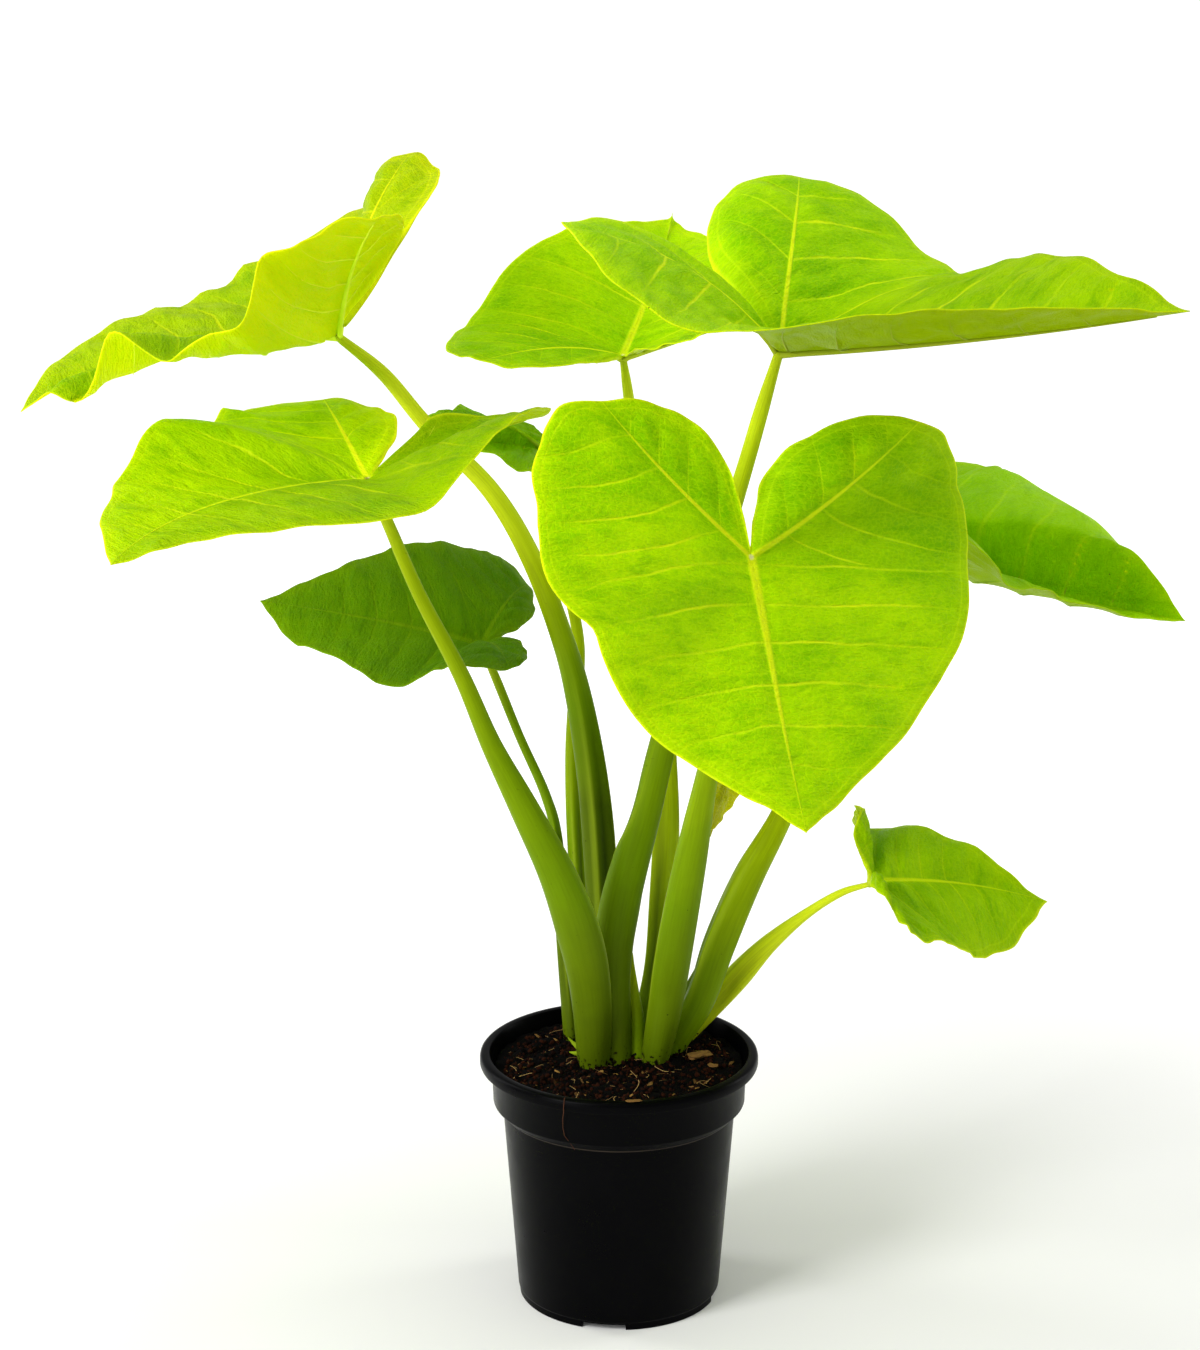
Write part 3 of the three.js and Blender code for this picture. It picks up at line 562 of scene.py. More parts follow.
def flat_to_grid(leaf, x, y):
    """Share round the edge and share of the way out, of a place on the flat half."""
    shares = np.linspace(0, 1, 600)
    edge_x, edge_y = flat_outline(leaf, shares)
    angles = np.arctan2(edge_y, edge_x)
    angle = np.arctan2(np.maximum(y, 0), x)
    far = np.interp(angle, angles, np.hypot(edge_x, edge_y))
    return np.interp(angle, angles, shares), np.hypot(x, y) / far


def vein_paths(leaf, side):
    """Flat courses of the ribs and side veins of one half, each with its half width at both ends in mm."""
    steps = np.linspace(0, 1, 22)
    length, ahead, outer = lobe_rib(leaf)
    paths = [(steps * 0.97, steps * 0, 2.3, 0.3)]
    reach = steps * 1.1 * leaf["width"]
    courses = [(0 * steps, steps * 0.93 * length, 1.9, 0.3)]
    for k in range(1, LOBE_VEIN_COUNT + 1):
        start = k * LOBE_VEIN_PITCH * length
        courses.append((reach, start + OUTER_SLANT * reach + OUTER_BEND * reach**2, 0.45, 0.12))
        courses.append((-reach, start + INNER_SLANT * reach, 0.45, 0.12))
    lobe = []
    for q, p, wide, narrow in courses:
        q = q + lobe_bow(length, np.clip(p, 0, length))
        lobe.append((p * ahead[0] + q * outer[0], p * ahead[1] + q * outer[1], wide, narrow))
    paths.append(lobe[0])
    for k in range(LATERAL_COUNT):
        x = FIRST_LATERAL + k * LATERAL_PITCH + lateral_drift(side, reach)
        paths.append((x, reach, 0.62 - 0.05 * k, 0.12))
    return paths + lobe[1:]


def rib_lines(leaf, heights, normals):
    """Courses of the ribs along the blade's lower face, as rows of points with half widths."""
    count = 2 * RAYS
    rows = []
    for side in (1, -1):
        for number, (x, y, wide, narrow) in enumerate(vein_paths(leaf, side)):
            share, out = flat_to_grid(leaf, x, y)
            kept = (out < 0.95) & (y >= 0)
            if number > 1:
                kept &= out > 0
            stop = len(kept) if kept.all() else int(np.argmin(kept))
            if stop < 4 or (side < 0 and number == 0):
                continue
            share, out = share[:stop], out[:stop]
            ray = np.rint(share * RAYS).astype(int)
            ray = np.where(side > 0, ray, (count - ray) % count)
            ring = np.rint(out * RINGS).astype(int)
            index = np.where(ring == 0, 0, 1 + (np.maximum(ring, 1) - 1) * count + ray)
            width = np.linspace(wide, narrow, stop)
            depth = BLADE_THICKNESS / 2 + 0.8 * width + 1.5 * (index == 0) - heights[index]
            middle = blade_points(leaf, side, share, out) - normals[index] * depth[:, None]
            rows.append(np.column_stack([middle, width]))
    return rows


def add(tree, kind, feeds=None, **settings):
    """Adds one node with its settings, and feeds its sockets. A shader node goes without its first word."""
    made = tree.nodes.new(kind if "Node" in kind else "ShaderNode" + kind)
    for name, value in settings.items():
        setattr(made, name, value)
    feed(tree, made, feeds or {})
    return made


def feed(tree, node, feeds):
    """Fills sockets, each called by its name or number, with values, sRGB hex colours or links."""
    for name, value in feeds.items():
        open_sockets = [s for s in node.inputs if s.enabled and s.name == name]
        socket = open_sockets[0] if isinstance(name, str) else node.inputs[name]
        if isinstance(value, bpy.types.Node):
            value = next(s for s in value.outputs if s.enabled)
        if isinstance(value, bpy.types.NodeSocket):
            tree.links.new(value, socket)
        else:
            socket.default_value = shade(value) if str(value).startswith("#") else value


def shape_tree(name, sizes):
    """An empty geometry tree with named inputs, each given as its name and kind of socket."""
    tree = bpy.data.node_groups.new(name, "GeometryNodeTree")
    tree.interface.new_socket("Geometry", in_out="INPUT", socket_type="NodeSocketGeometry")
    for size, kind in sizes.items():
        tree.interface.new_socket(size, in_out="INPUT", socket_type="NodeSocket" + kind)
    tree.interface.new_socket("Geometry", in_out="OUTPUT", socket_type="NodeSocketGeometry")
    return tree, partial(add, tree), add(tree, "NodeGroupInput").outputs


def end_tree(tree, shape, finish):
    """Closes a geometry tree: real instances, one finish, smooth faces."""
    shape = add(tree, "GeometryNodeSetShadeSmooth", {"Geometry": shape})
    shape = add(tree, "GeometryNodeRealizeInstances", {"Geometry": shape})
    shape = add(tree, "GeometryNodeSetMaterial", {"Geometry": shape, "Material": finish})
    add(tree, "NodeGroupOutput", {"Geometry": shape})
    return tree


def run_tree(name, source, tree, values):
    """Runs a geometry tree on a source object and keeps its result as a plain mesh."""
    modifier = source.modifiers.new("shape", "NODES")
    modifier.node_group = tree
    for item in tree.interface.items_tree:
        if item.in_out == "INPUT" and item.name in values:
            modifier[item.identifier] = values[item.name]
    bpy.context.view_layer.update()
    graph = bpy.context.evaluated_depsgraph_get()
    mesh = bpy.data.meshes.new_from_object(source.evaluated_get(graph), depsgraph=graph)
    mesh.name = name
    bpy.data.objects.remove(source)
    return show(name, mesh)


def strands(name, rows, sides, finish):
    """Round strands along rows of points with half widths in mm, as one piece."""
    curve = bpy.data.curves.new("course", "CURVE")
    curve.dimensions = "3D"
    for row in rows:
        row = np.asarray(row, float) * MM
        spline = curve.splines.new("POLY")
        spline.points.add(len(row) - 1)
        spline.points.foreach_set("co", np.column_stack([row[:, :3], np.ones(len(row))]).ravel())
        spline.points.foreach_set("radius", row[:, 3])
    values = {"Sides": sides, "Thickness": 1.0, "Finish": finish}
    return run_tree(name, show("course", curve), STRANDS, values)


def strand_tree():
    """Round strands along courses, each as thick as its points say: ribs under a leaf, roots and fibres."""
    tree, node, given = shape_tree("strands", {"Sides": "Int", "Thickness": "Float", "Finish": "Material"})
    ring = node("GeometryNodeCurvePrimitiveCircle", {
        "Resolution": given["Sides"], "Radius": given["Thickness"],
    })
    tube = node("GeometryNodeCurveToMesh", {
        "Curve": given["Geometry"],
        "Profile Curve": ring,
        "Scale": node("GeometryNodeInputRadius"),
        "Fill Caps": True,
    })
    return end_tree(tree, tube, given["Finish"])


def scatter_tree():
    """Small pieces strewn over a surface, turned and sized at random, each with a tint of its own."""
    tree, node, given = shape_tree("strewn", {
        "Kinds": "Collection",
        "Per square metre": "Float",
        "Smallest": "Float",
        "Largest": "Float",
        "Tilt": "Float",
        "Seed": "Int",
        "Finish": "Material",
    })
    spots = node("GeometryNodeDistributePointsOnFaces", {
        "Mesh": given["Geometry"], "Density": given["Per square metre"], "Seed": given["Seed"],
    })
    kinds = node("GeometryNodeCollectionInfo", {
        "Collection": given["Kinds"], "Separate Children": True, "Reset Children": True,
    })
    lean = node("CombineXYZ", {0: given["Tilt"], 1: given["Tilt"], 2: math.pi})
    lean_back = node("VectorMath", {0: lean, "Scale": -1.0}, operation="SCALE")
    turn = node("FunctionNodeRandomValue", {
        "Min": lean_back, "Max": lean, "Seed": 3,
    }, data_type="FLOAT_VECTOR")
    size = node("FunctionNodeRandomValue", {"Min": given["Smallest"], "Max": given["Largest"], "Seed": 5})
    strewn = node("GeometryNodeInstanceOnPoints", {
        "Points": spots,
        "Instance": kinds,
        "Pick Instance": True,
        "Rotation": node("FunctionNodeEulerToRotation", {0: turn}),
        "Scale": size,
    })
    tint = node("FunctionNodeRandomValue", {"Min": 0.0, "Max": 1.0, "Seed": 9})
    strewn = node("GeometryNodeStoreNamedAttribute", {
        "Geometry": strewn, "Name": "tint", "Value": tint,
    }, domain="INSTANCE")
    return end_tree(tree, strewn, given["Finish"])


def drilling_tree():
    """Drain holes, spread round a circle and cut out of the pot's floor."""
    tree, node, given = shape_tree("drilling", {
        "Holes": "Int", "Hole circle": "Float", "Hole radius": "Float", "Finish": "Material",
    })
    drill = node("GeometryNodeMeshCylinder", {"Vertices": 32, "Radius": given["Hole radius"], "Depth": 0.03})
    ring = node("GeometryNodeMeshCircle", {"Vertices": given["Holes"], "Radius": given["Hole circle"]})
    drills = node("GeometryNodeInstanceOnPoints", {"Points": ring, "Instance": drill})
    body = node("GeometryNodeMeshBoolean", {
        "Mesh 1": given["Geometry"],
        "Mesh 2": node("GeometryNodeRealizeInstances", {"Geometry": drills}),
    }, operation="DIFFERENCE", solver="EXACT")
    return end_tree(tree, body, given["Finish"])


def shade(hex_code):
    """An sRGB hex colour as the linear colour that a shader takes."""
    parts = [int(hex_code[i:i + 2], 16) / 255 for i in (1, 3, 5)]
    return (*(c / 12.92 if c <= 0.04045 else ((c + 0.055) / 1.055) ** 2.4 for c in parts), 1.0)


def new_material(name, **sockets):
    """A principled material, with the values that are the same all over set on its own sockets. The second
    result adds a node to it, and the third feeds its shader."""
    material = bpy.data.materials.new(name)
    material.use_nodes = True
    tree = material.node_tree
    feed_shader = partial(feed, tree, tree.nodes["Principled BSDF"])
    feed_shader({socket.replace("_", " "): value for socket, value in sockets.items()})
    return material, partial(add, tree), feed_shader


def leaf_finish(name, fresh, deep, vein, margin, under):
    """Living aroid leaf: a thin waxy skin over juicy tissue, so light sinks in and the gloss is broad and
    soft. The ribs are paler than the tissue, the edge is nearly yellow, and fine veins give it a pebbled,
    silky look."""
    material, node, finish = new_material(
        name, IOR=1.42, Specular_IOR_Level=0.02,
        Subsurface_Weight=0.4, Subsurface_Radius=(1.0, 0.9, 0.02), Subsurface_Scale=0.0025,
    )
    names = ("front", "outer", "inner", "lobe_side", "lobe_along", "edge", "upper", "tone", "yellow")
    read = {n: node("Attribute", attribute_name=n).outputs["Fac"] for n in names}
    flat = node("Attribute", attribute_name="flat").outputs["Vector"]
    where = node("TexCoord").outputs["Object"]
    beside, ahead = node("SeparateXYZ", {0: flat}).outputs[1:]

    # Side veins: the lines where a map is a whole number, thinner and fainter towards the edge
    taper = node("MapRange", {"Value": read["edge"], "From Min": 2.0, "From Max": 40.0, "To Min": 0.4})
    wobble = node("TexNoise", {"Vector": where, "Scale": 22.0, "Detail": 2.0})
    wobble = node("MapRange", {"Value": wobble, "To Min": -0.14, "To Max": 0.14})
    in_front = node("Math", {0: read["front"], 1: -0.06}, operation="GREATER_THAN")
    behind = node("Math", {0: 1.0, 1: in_front}, operation="SUBTRACT")
    outside = node("Math", {0: read["lobe_side"], 1: 0.0}, operation="GREATER_THAN")
    inside = node("Math", {0: 1.0, 1: outside}, operation="SUBTRACT")
    outside = node("Math", {0: behind, 1: outside}, operation="MULTIPLY")
    drawn = 0.0
    for family, zone in (("front", in_front), ("outer", outside), ("inner", inside)):
        away = read[family]
        for operation, value in (("ADD", wobble), ("PINGPONG", 0.5), ("DIVIDE", taper)):
            away = node("Math", {0: away, 1: value}, operation=operation)
        line = node("MapRange", {
            "Value": away, "From Min": 0.008, "From Max": 0.055, "To Min": 1.0, "To Max": 0.0,
        }, interpolation_type="SMOOTHSTEP")
        line = node("Math", {0: line, 1: zone}, operation="MULTIPLY")
        drawn = node("Math", {0: drawn, 1: line}, operation="MAXIMUM")
    reach = node("MapRange", {
        "Value": read["edge"], "From Min": 4.0, "From Max": 75.0, "To Min": 0.1, "To Max": 0.85,
    })
    uneven = node("TexNoise", {"Vector": where, "Scale": 30.0, "Detail": 1.0})
    uneven = node("MapRange", {"Value": uneven, "From Min": 0.35, "From Max": 0.6, "To Min": 0.5})
    for share in (reach, uneven):
        drawn = node("Math", {0: drawn, 1: share}, operation="MULTIPLY")

    # Midrib and the ribs of the lobes: widest at the junction
    ribs = 0.0
    for offset, run, start, end in (
        (beside, ahead, 4.2, 0.7),
        (read["lobe_side"], read["lobe_along"], 2.8, 0.5),
    ):
        away = node("Math", {0: offset}, operation="ABSOLUTE")
        width = node("MapRange", {"Value": run, "From Max": 0.95, "To Min": start, "To Max": end})
        away = node("Math", {0: away, 1: width}, operation="DIVIDE")
        rib = node("MapRange", {
            "Value": away, "From Min": 0.35, "From Max": 1.15, "To Min": 1.0, "To Max": 0.0,
        }, interpolation_type="SMOOTHSTEP")
        forward = node("MapRange", {"Value": run, "From Min": -0.012, "From Max": 0.0})
        fading = node("MapRange", {"Value": run, "From Min": 0.55, "To Min": 1.0, "To Max": 0.35})
        for share in (forward, fading):
            rib = node("Math", {0: rib, 1: share}, operation="MULTIPLY")
        ribs = node("Math", {0: ribs, 1: rib}, operation="MAXIMUM")

    # The vein that runs along inside the edge, and the edge itself
    away = node("Math", {0: read["edge"], 1: MARGIN_VEIN}, operation="SUBTRACT")
    away = node("Math", {0: away}, operation="ABSOLUTE")
    hem = node("MapRange", {
        "Value": away, "From Min": 0.1, "From Max": 0.9, "To Min": 0.2, "To Max": 0.0,
    }, interpolation_type="SMOOTHSTEP")
    veins = drawn
    for line in (ribs, hem):
        veins = node("Math", {0: veins, 1: line}, operation="MAXIMUM")
    brim = node("MapRange", {
        "Value": read["edge"], "From Min": 0.3, "From Max": 1.5, "To Min": 0.7, "To Max": 0.0,
    }, interpolation_type="SMOOTHSTEP")

    # Fine veins: a net of meshes about 3.5 mm wide, and wrinkles that run out from the midrib,
    # both drawn a little coarser than real so that they show
    net = node("TexVoronoi", {"Vector": flat, "Scale": 0.28}, feature="DISTANCE_TO_EDGE")
    net = node("MapRange", {
        "Value": net, "From Max": 0.16, "To Min": 1.0, "To Max": 0.0,
    }, interpolation_type="SMOOTHSTEP")
    net_coat = node("Math", {0: net, 1: 0.12}, operation="MULTIPLY")
    wrinkle = node("Mapping", {"Vector": flat, "Scale": (0.7, 0.2, 1.0)})
    wrinkle = node("TexNoise", {"Vector": wrinkle, "Scale": 1.0, "Detail": 4.0, "Roughness": 0.6})

    # Tissue: fresh and deeper patches, deeper on the lobes, yellower at the edge, with a painted highlight on
    # the wrinkles' crests and painted shade in their dips
    broad = node("TexNoise", {"Vector": where, "Scale": 19.0, "Detail": 3.0})
    lobes = node("MapRange", {
        "Value": ahead, "From Min": -0.5, "From Max": 0.5, "To Min": 0.22, "To Max": -0.06,
    })
    broad = node("Math", {0: broad, 1: lobes}, operation="ADD")
    broad = node("MapRange", {"Value": broad, "From Min": 0.4, "From Max": 0.8, "To Max": 0.85})
    # Painted highlight on the wrinkles' crests and painted shade in their dips
    crest_highlight = node("MapRange", {"Value": wrinkle, "From Min": 0.48, "From Max": 0.72, "To Max": 0.34})
    dip_shade = node("MapRange", {"Value": wrinkle, "From Min": 0.5, "From Max": 0.3, "To Max": 0.3})
    streaks = node("Mapping", {"Vector": flat, "Scale": (0.1, 0.03, 1.0)})
    streaks = node("TexNoise", {"Vector": streaks, "Scale": 1.0, "Detail": 3.0, "Distortion": 0.4})
    streak = node("MapRange", {"Value": streaks, "From Min": 0.52, "From Max": 0.7, "To Max": 0.6})
    near_edge = node("MapRange", {"Value": read["edge"], "From Max": 12.0, "To Min": 0.4, "To Max": 0.0})
    lower = node("MapRange", {"Value": read["upper"], "To Min": 0.6, "To Max": 0.0})
    # On the lower side the veins turn towards the deep green: painted shade beside the raised veins
    line = node("Mix", {"Factor": lower, "A": vein, "B": deep}, data_type="RGBA")

    # The small whitish point where the ribs meet, and a few dark specks, each about 1 mm
    middle = node("VectorMath", {0: flat, 1: (1.0, 1.0, 0.0)}, operation="MULTIPLY")
    middle = node("VectorMath", {0: middle}, operation="LENGTH").outputs["Value"]
    point = node("MapRange", {
        "Value": middle, "From Min": 0.8, "From Max": 2.6, "To Min": 0.9, "To Max": 0.0,
    }, interpolation_type="SMOOTHSTEP")
    specks = node("TexVoronoi", {"Vector": flat, "Scale": 0.035})
    speck = node("Math", {0: specks.outputs["Distance"], 1: 0.016}, operation="LESS_THAN")
    tissue = fresh
    for share, colour in (
        (broad, deep), (crest_highlight, margin), (dip_shade, deep), (streak, deep), (near_edge, margin), (net_coat, vein),
        (lower, under), (veins, line), (brim, vein), (point, "#f4f8a0"), (speck, "#3c4a10"),
    ):
        tissue = node("Mix", {"Factor": share, "A": tissue, "B": colour}, data_type="RGBA")
    # The tone makes each half and the lower side lighter or darker: painted light and shade
    hue = node("Math", {0: 0.5, 1: read["yellow"]}, operation="SUBTRACT")
    tissue = node("HueSaturation", {"Color": tissue, "Hue": hue, "Value": read["tone"]})

    # The veins sink into the upper face and stand out of the lower one; the wrinkles swell between them
    sign = node("MapRange", {"Value": read["upper"], "To Min": 1.0, "To Max": -1.0})
    height = node("Math", {0: drawn, 1: sign}, operation="MULTIPLY")
    for part, share in ((net, -0.3), (wrinkle, 2.6), (streaks, 6.0), (ribs, 0.9)):
        height = node("Math", {0: part, 1: share, 2: height}, operation="MULTIPLY_ADD")
    wax = node("TexNoise", {"Vector": where, "Scale": 40.0, "Detail": 2.0})
    finish({
        "Base Color": tissue,
        "Roughness": node("MapRange", {
            "Value": wax, "From Min": 0.3, "From Max": 0.7, "To Min": 0.36, "To Max": 0.55,
        }),
        "Normal": node("Bump", {"Height": height, "Strength": 0.9, "Distance": 0.0008}),
    })
    return material


def stalk_finish():
    """Fleshy leaf stalk: taut, faintly waxy skin with fine lengthwise fibres, yellow-green under the blade,
    dark olive at the foot, with paler edges where it opens as a sheath, painted shade in its open channel,
    and a film of soil at the very foot."""
    material, node, finish = new_material(
        "fleshy leaf stalk", Roughness=0.42, IOR=1.42, Specular_IOR_Level=0.05,
        Subsurface_Weight=0.15, Subsurface_Radius=(1.0, 0.9, 0.02), Subsurface_Scale=0.003,
    )
    relief = node("Attribute", attribute_name="relief").outputs["Fac"]
    youth_and_shade = node("Attribute", attribute_name="youth_and_shade").outputs["Fac"]
    wrap = node("Attribute", attribute_name="wrap").outputs["Vector"]
    down = node("SeparateXYZ", {0: wrap}).outputs[2]
    where = node("TexCoord").outputs["Object"]
    height = node("SeparateXYZ", {0: where}).outputs[2]
    patches = node("TexNoise", {"Vector": where, "Scale": 16.0, "Detail": 3.0})
    uneven = node("MapRange", {"Value": patches, "To Min": -0.06, "To Max": 0.06})
    level = node("Math", {0: height, 1: uneven}, operation="ADD")
    level = node("MapRange", {"Value": level, "From Min": 0.165, "From Max": 0.6})
    # Each stalk's ends are made lighter or darker: partly its youth, partly painted shade
    level = node("Math", {0: level, 1: youth_and_shade}, operation="ADD")
    ramp = node("ValToRGB", {0: level})
    stops = ramp.color_ramp.elements
    stops[0].color = shade("#566a06")
    stops[1].color = shade("#dcec20")
    for at, tone in ((0.1, "#647c06"), (0.25, "#6c8c02"), (0.45, "#7c9a02"), (0.75, "#b4c80a")):
        stops.new(at).color = shade(tone)
    neck = node("MapRange", {"Value": down, "From Max": 0.05, "To Min": 0.6, "To Max": 0.0})
    grain = node("Mapping", {"Vector": wrap, "Scale": (1.0, 1.0, 3.0)})
    grain = node("TexNoise", {"Vector": grain, "Scale": 7.0, "Detail": 5.0, "Roughness": 0.65})
    streak = node("MapRange", {"Value": grain, "From Min": 0.4, "From Max": 0.75, "To Max": 0.35})
    lip = node("MapRange", {"Value": relief})
    # Painted shade in the sheath's open channel
    channel_shade = node("MapRange", {
        "Value": relief, "From Min": -1.0, "From Max": 0.0, "To Min": 0.6, "To Max": 0.0,
    })

    # Soil on the skin: thick at the soil line, thinning out within 20 mm
    dirt = node("TexNoise", {"Vector": where, "Scale": 300.0, "Detail": 3.0})
    rise = node("MapRange", {
        "Value": height, "From Min": 0.166, "From Max": 0.183, "To Min": 0.1, "To Max": -0.16,
    })
    dirt = node("Math", {0: dirt, 1: rise}, operation="ADD")
    dirt = node("MapRange", {"Value": dirt, "From Min": 0.56, "From Max": 0.64})
    skin = ramp
    for share, colour in (
        (neck, "#c8d620"), (streak, "#4c5e02"), (lip, "#b6cc30"), (channel_shade, "#34480a"), (dirt, "#140c06"),
    ):
        skin = node("Mix", {"Factor": share, "A": skin, "B": colour}, data_type="RGBA")
    finish({
        "Base Color": skin,
        "Normal": node("Bump", {"Height": grain, "Strength": 0.4, "Distance": 0.0005}),
    })
    return material


def rib_finish(name, fresh, deep):
    """Leaf rib: the same waxy skin as the stalk, paler and tighter, with a fine lengthwise grain. It is made
    lighter or darker with the painted light and shade of its leaf's lower side.
    """
    material, node, finish = new_material(name, Roughness=0.45, IOR=1.42, Specular_IOR_Level=0.03)
    where = node("TexCoord").outputs["Object"]
    mottle = node("TexNoise", {"Vector": where, "Scale": 60.0, "Detail": 3.0})
    # Painted light and shade: the rib follows its leaf's lower side, which stands in for light through the
    # leaf
    painted_glow = node("Attribute", attribute_name="painted_glow").outputs["Fac"]
    painted_glow = node("Math", {0: painted_glow, 1: 1.0}, operation="ADD")
    skin = node("Mix", {"Factor": mottle, "A": fresh, "B": deep}, data_type="RGBA")
    finish({
        "Base Color": node("HueSaturation", {"Color": skin, "Value": painted_glow}),
        "Normal": node("Bump", {"Height": mottle, "Strength": 0.3, "Distance": 0.0003}),
    })
    return material


def pot_finish():
    """Moulded polypropylene, carbon black: an even satin gloss with a faint moulding grain, a film of
    dust, and a thin pale line along the ledge that is a painted highlight of its edge."""
    material, node, finish = new_material("moulded black polypropylene", IOR=1.49, Specular_IOR_Level=0.035)
    where = node("TexCoord").outputs["Object"]
    film = node("TexNoise", {"Vector": where, "Scale": 35.0, "Detail": 5.0, "Roughness": 0.6})
    dust = node("MapRange", {"Value": film, "From Min": 0.45, "From Max": 0.75, "To Max": 0.3})
    height = node("SeparateXYZ", {0: where}).outputs[2]
    # A thin pale line along the ledge, patchy with the dust film: painted highlight of the ledge's edge
    away = node("Math", {0: height, 1: (LEDGE_HEIGHT + 0.6) * MM}, operation="SUBTRACT")
    away = node("Math", {0: away}, operation="ABSOLUTE")
    line = node("MapRange", {
        "Value": away, "From Min": 0.0002, "From Max": 0.0009, "To Min": 1.0, "To Max": 0.0,
    })
    line = node("Math", {0: line, 1: film}, operation="MULTIPLY")
    grain = node("TexNoise", {"Vector": where, "Scale": 900.0, "Detail": 2.0})
    skin = "#020203"
    for share, colour in ((dust, "#060608"), (line, "#4c4238")):
        skin = node("Mix", {"Factor": share, "A": skin, "B": colour}, data_type="RGBA")
    finish({
        "Base Color": skin,
        "Roughness": node("MapRange", {
            "Value": film, "From Min": 0.3, "From Max": 0.7, "To Min": 0.26, "To Max": 0.38,
        }),
        "Normal": node("Bump", {"Height": grain, "Strength": 0.12, "Distance": 0.0002}),
    })
    return material


def earthy_finish(name, dark, light, roughness, grain, lowest=0.1):
    """Peat, bark or fibre: damp and matt, each crumb with a tone of its own and a rough broken surface."""
    material, node, finish = new_material(name, Roughness=roughness, IOR=1.45, Specular_IOR_Level=0.08)
    where = node("TexCoord").outputs["Object"]
    tint = node("Attribute", attribute_name="tint").outputs["Fac"]
    crumble = node("TexNoise", {"Vector": where, "Scale": grain, "Detail": 5.0, "Roughness": 0.7})
    tone = node("Math", {0: crumble, 1: 0.5}, operation="MULTIPLY")
    tone = node("Math", {0: tint, 1: 0.75, 2: tone}, operation="MULTIPLY_ADD")
    tone = node("MapRange", {"Value": tone, "From Min": lowest})
    finish({
        "Base Color": node("Mix", {"Factor": tone, "A": dark, "B": light}, data_type="RGBA"),
        "Normal": node("Bump", {"Height": crumble, "Strength": 0.8, "Distance": 0.001}),
    })
    return material


def junction_normal(leaf):
    """Upward normal of the blade where the stalk joins it, and the ring of points round that place."""
    stops, out = 20, 0.22
    shares = np.arange(stops + 1) / stops
    left = blade_points(leaf, 1, shares, out)
    right = blade_points(leaf, -1, shares[stops - 1:0:-1], out)
    ring = np.concatenate([left, right]) - leaf["junction"]
    total = np.cross(ring, np.roll(ring, -1, axis=0)).sum(0)
    return total / np.linalg.norm(total), ring


def stalk_line(leaf):
    """Centre line of a stalk from inside the blade down to the soil, with half widths."""
    up, ring = junction_normal(leaf)
    top_half = leaf["stalk"][0][3] * TOP_SHARE
    fall = -ring @ up
    level = np.linalg.norm(ring + np.outer(fall, up), axis=1)
    depth = max(0, (fall * top_half / level).max()) + 2
    top = np.array(leaf["junction"]) - up * depth
    return np.array([[*top, top_half], *leaf["stalk"]], float), up


def stalk(name, line, top, down, turn=0, low=0, high=0):
    """A leaf stalk: round under the blade, and lower down a sheath that is open towards the plant's middle.
    turn moves the opening round in degrees; low and high say how light its ends look, partly from youth and
    partly as painted shade."""
    sides = STALK_SIDES
    padded = np.vstack([2 * line[0] - line[1], line, 2 * line[-1] - line[-2]])
    places = np.linspace(0, 1, STALK_RINGS) * (len(line) - 1)
    centres = np.stack([along(padded[:, k], places + 1) for k in range(3)], -1)
    widths = along(line[:, 3], places)
    ahead = np.gradient(centres, axis=0)
    ahead[0] = down
    ahead = ahead / np.linalg.norm(ahead, axis=1, keepdims=True)
    across = np.array([1.0, 0, 0]) - ahead * ahead[:, :1]
    across = across / np.linalg.norm(across, axis=1, keepdims=True)
    inward = np.cross(ahead, across)

    # How far down a sheath opens, and how it closes again at the soil
    to_axis = np.column_stack([PLANT_CENTRE[0] - centres[:, 0], PLANT_CENTRE[1] - centres[:, 1], 0 * widths])
    opening = np.unwrap(np.arctan2((to_axis * inward).sum(1), (to_axis * across).sum(1))) + math.radians(turn)
    sheath = smooth(places / (len(line) - 1), 0.45, 0.8)[:, None]
    closed = smooth(centres[:, 2:], 175, 225)
    angle = np.arange(sides) * 2 * math.pi / sides
    off = (angle[None, :] - opening[:, None] + math.pi) % (2 * math.pi) - math.pi
    channel = np.exp(-((off / 0.6) ** 2))
    lips = np.exp(-(((np.abs(off) - 0.95) / 0.2) ** 2))
    depth = 0.5 + 0.2 * (turn != 0)
    radius = widths[:, None] * (1 - depth * sheath * closed * channel + 0.06 * sheath * lips)
    u = radius * np.cos(angle)
    v = radius * (0.95 - 0.17 * sheath + 0.4 * (1 - closed)) * np.sin(angle)
    rings = centres[:, None] + across[:, None] * u[..., None] + inward[:, None] * v[..., None]
    foot = rings[-1].copy()
    foot[:, 2] = STALK_FOOT
    neck = [top + (rings[0] - centres[0]) * share for share in (0.25, 0.7)]
    rings = np.concatenate([neck, rings, [foot]])
    total = len(rings)
    faces = tube_faces(0, total, sides) + [list(range(sides))[::-1]]
    faces.append([(total - 1) * sides + s for s in range(sides)])
    piece = make_mesh(name, rings.reshape(-1, 3), faces, STALK_SKIN)
    relief = (0.6 * lips - channel) * sheath * closed
    give(piece, "relief", np.vstack([0 * relief[:2], relief, relief[-1:]]).ravel())
    give(piece, "youth_and_shade", (low + (high - low) * smooth(rings[:, :, 2], 300, 600)).ravel())
    run = np.linalg.norm(np.diff(rings.mean(1), axis=0), axis=1).cumsum() * MM
    run = np.repeat(np.concatenate([[0], run]), sides)
    give(piece, "wrap", np.column_stack([np.tile(np.cos(angle), total), np.tile(np.sin(angle), total), run]))
    return piece


def tube_faces(first, rings, sides):
    """Faces between rings of points that follow each other, from the first point on."""
    faces = []
    for k in range(rings - 1):
        for s in range(sides):
            a, b = first + k * sides + s, first + k * sides + (s + 1) % sides
            faces.append([a, b, b + sides, a + sides])
    return faces


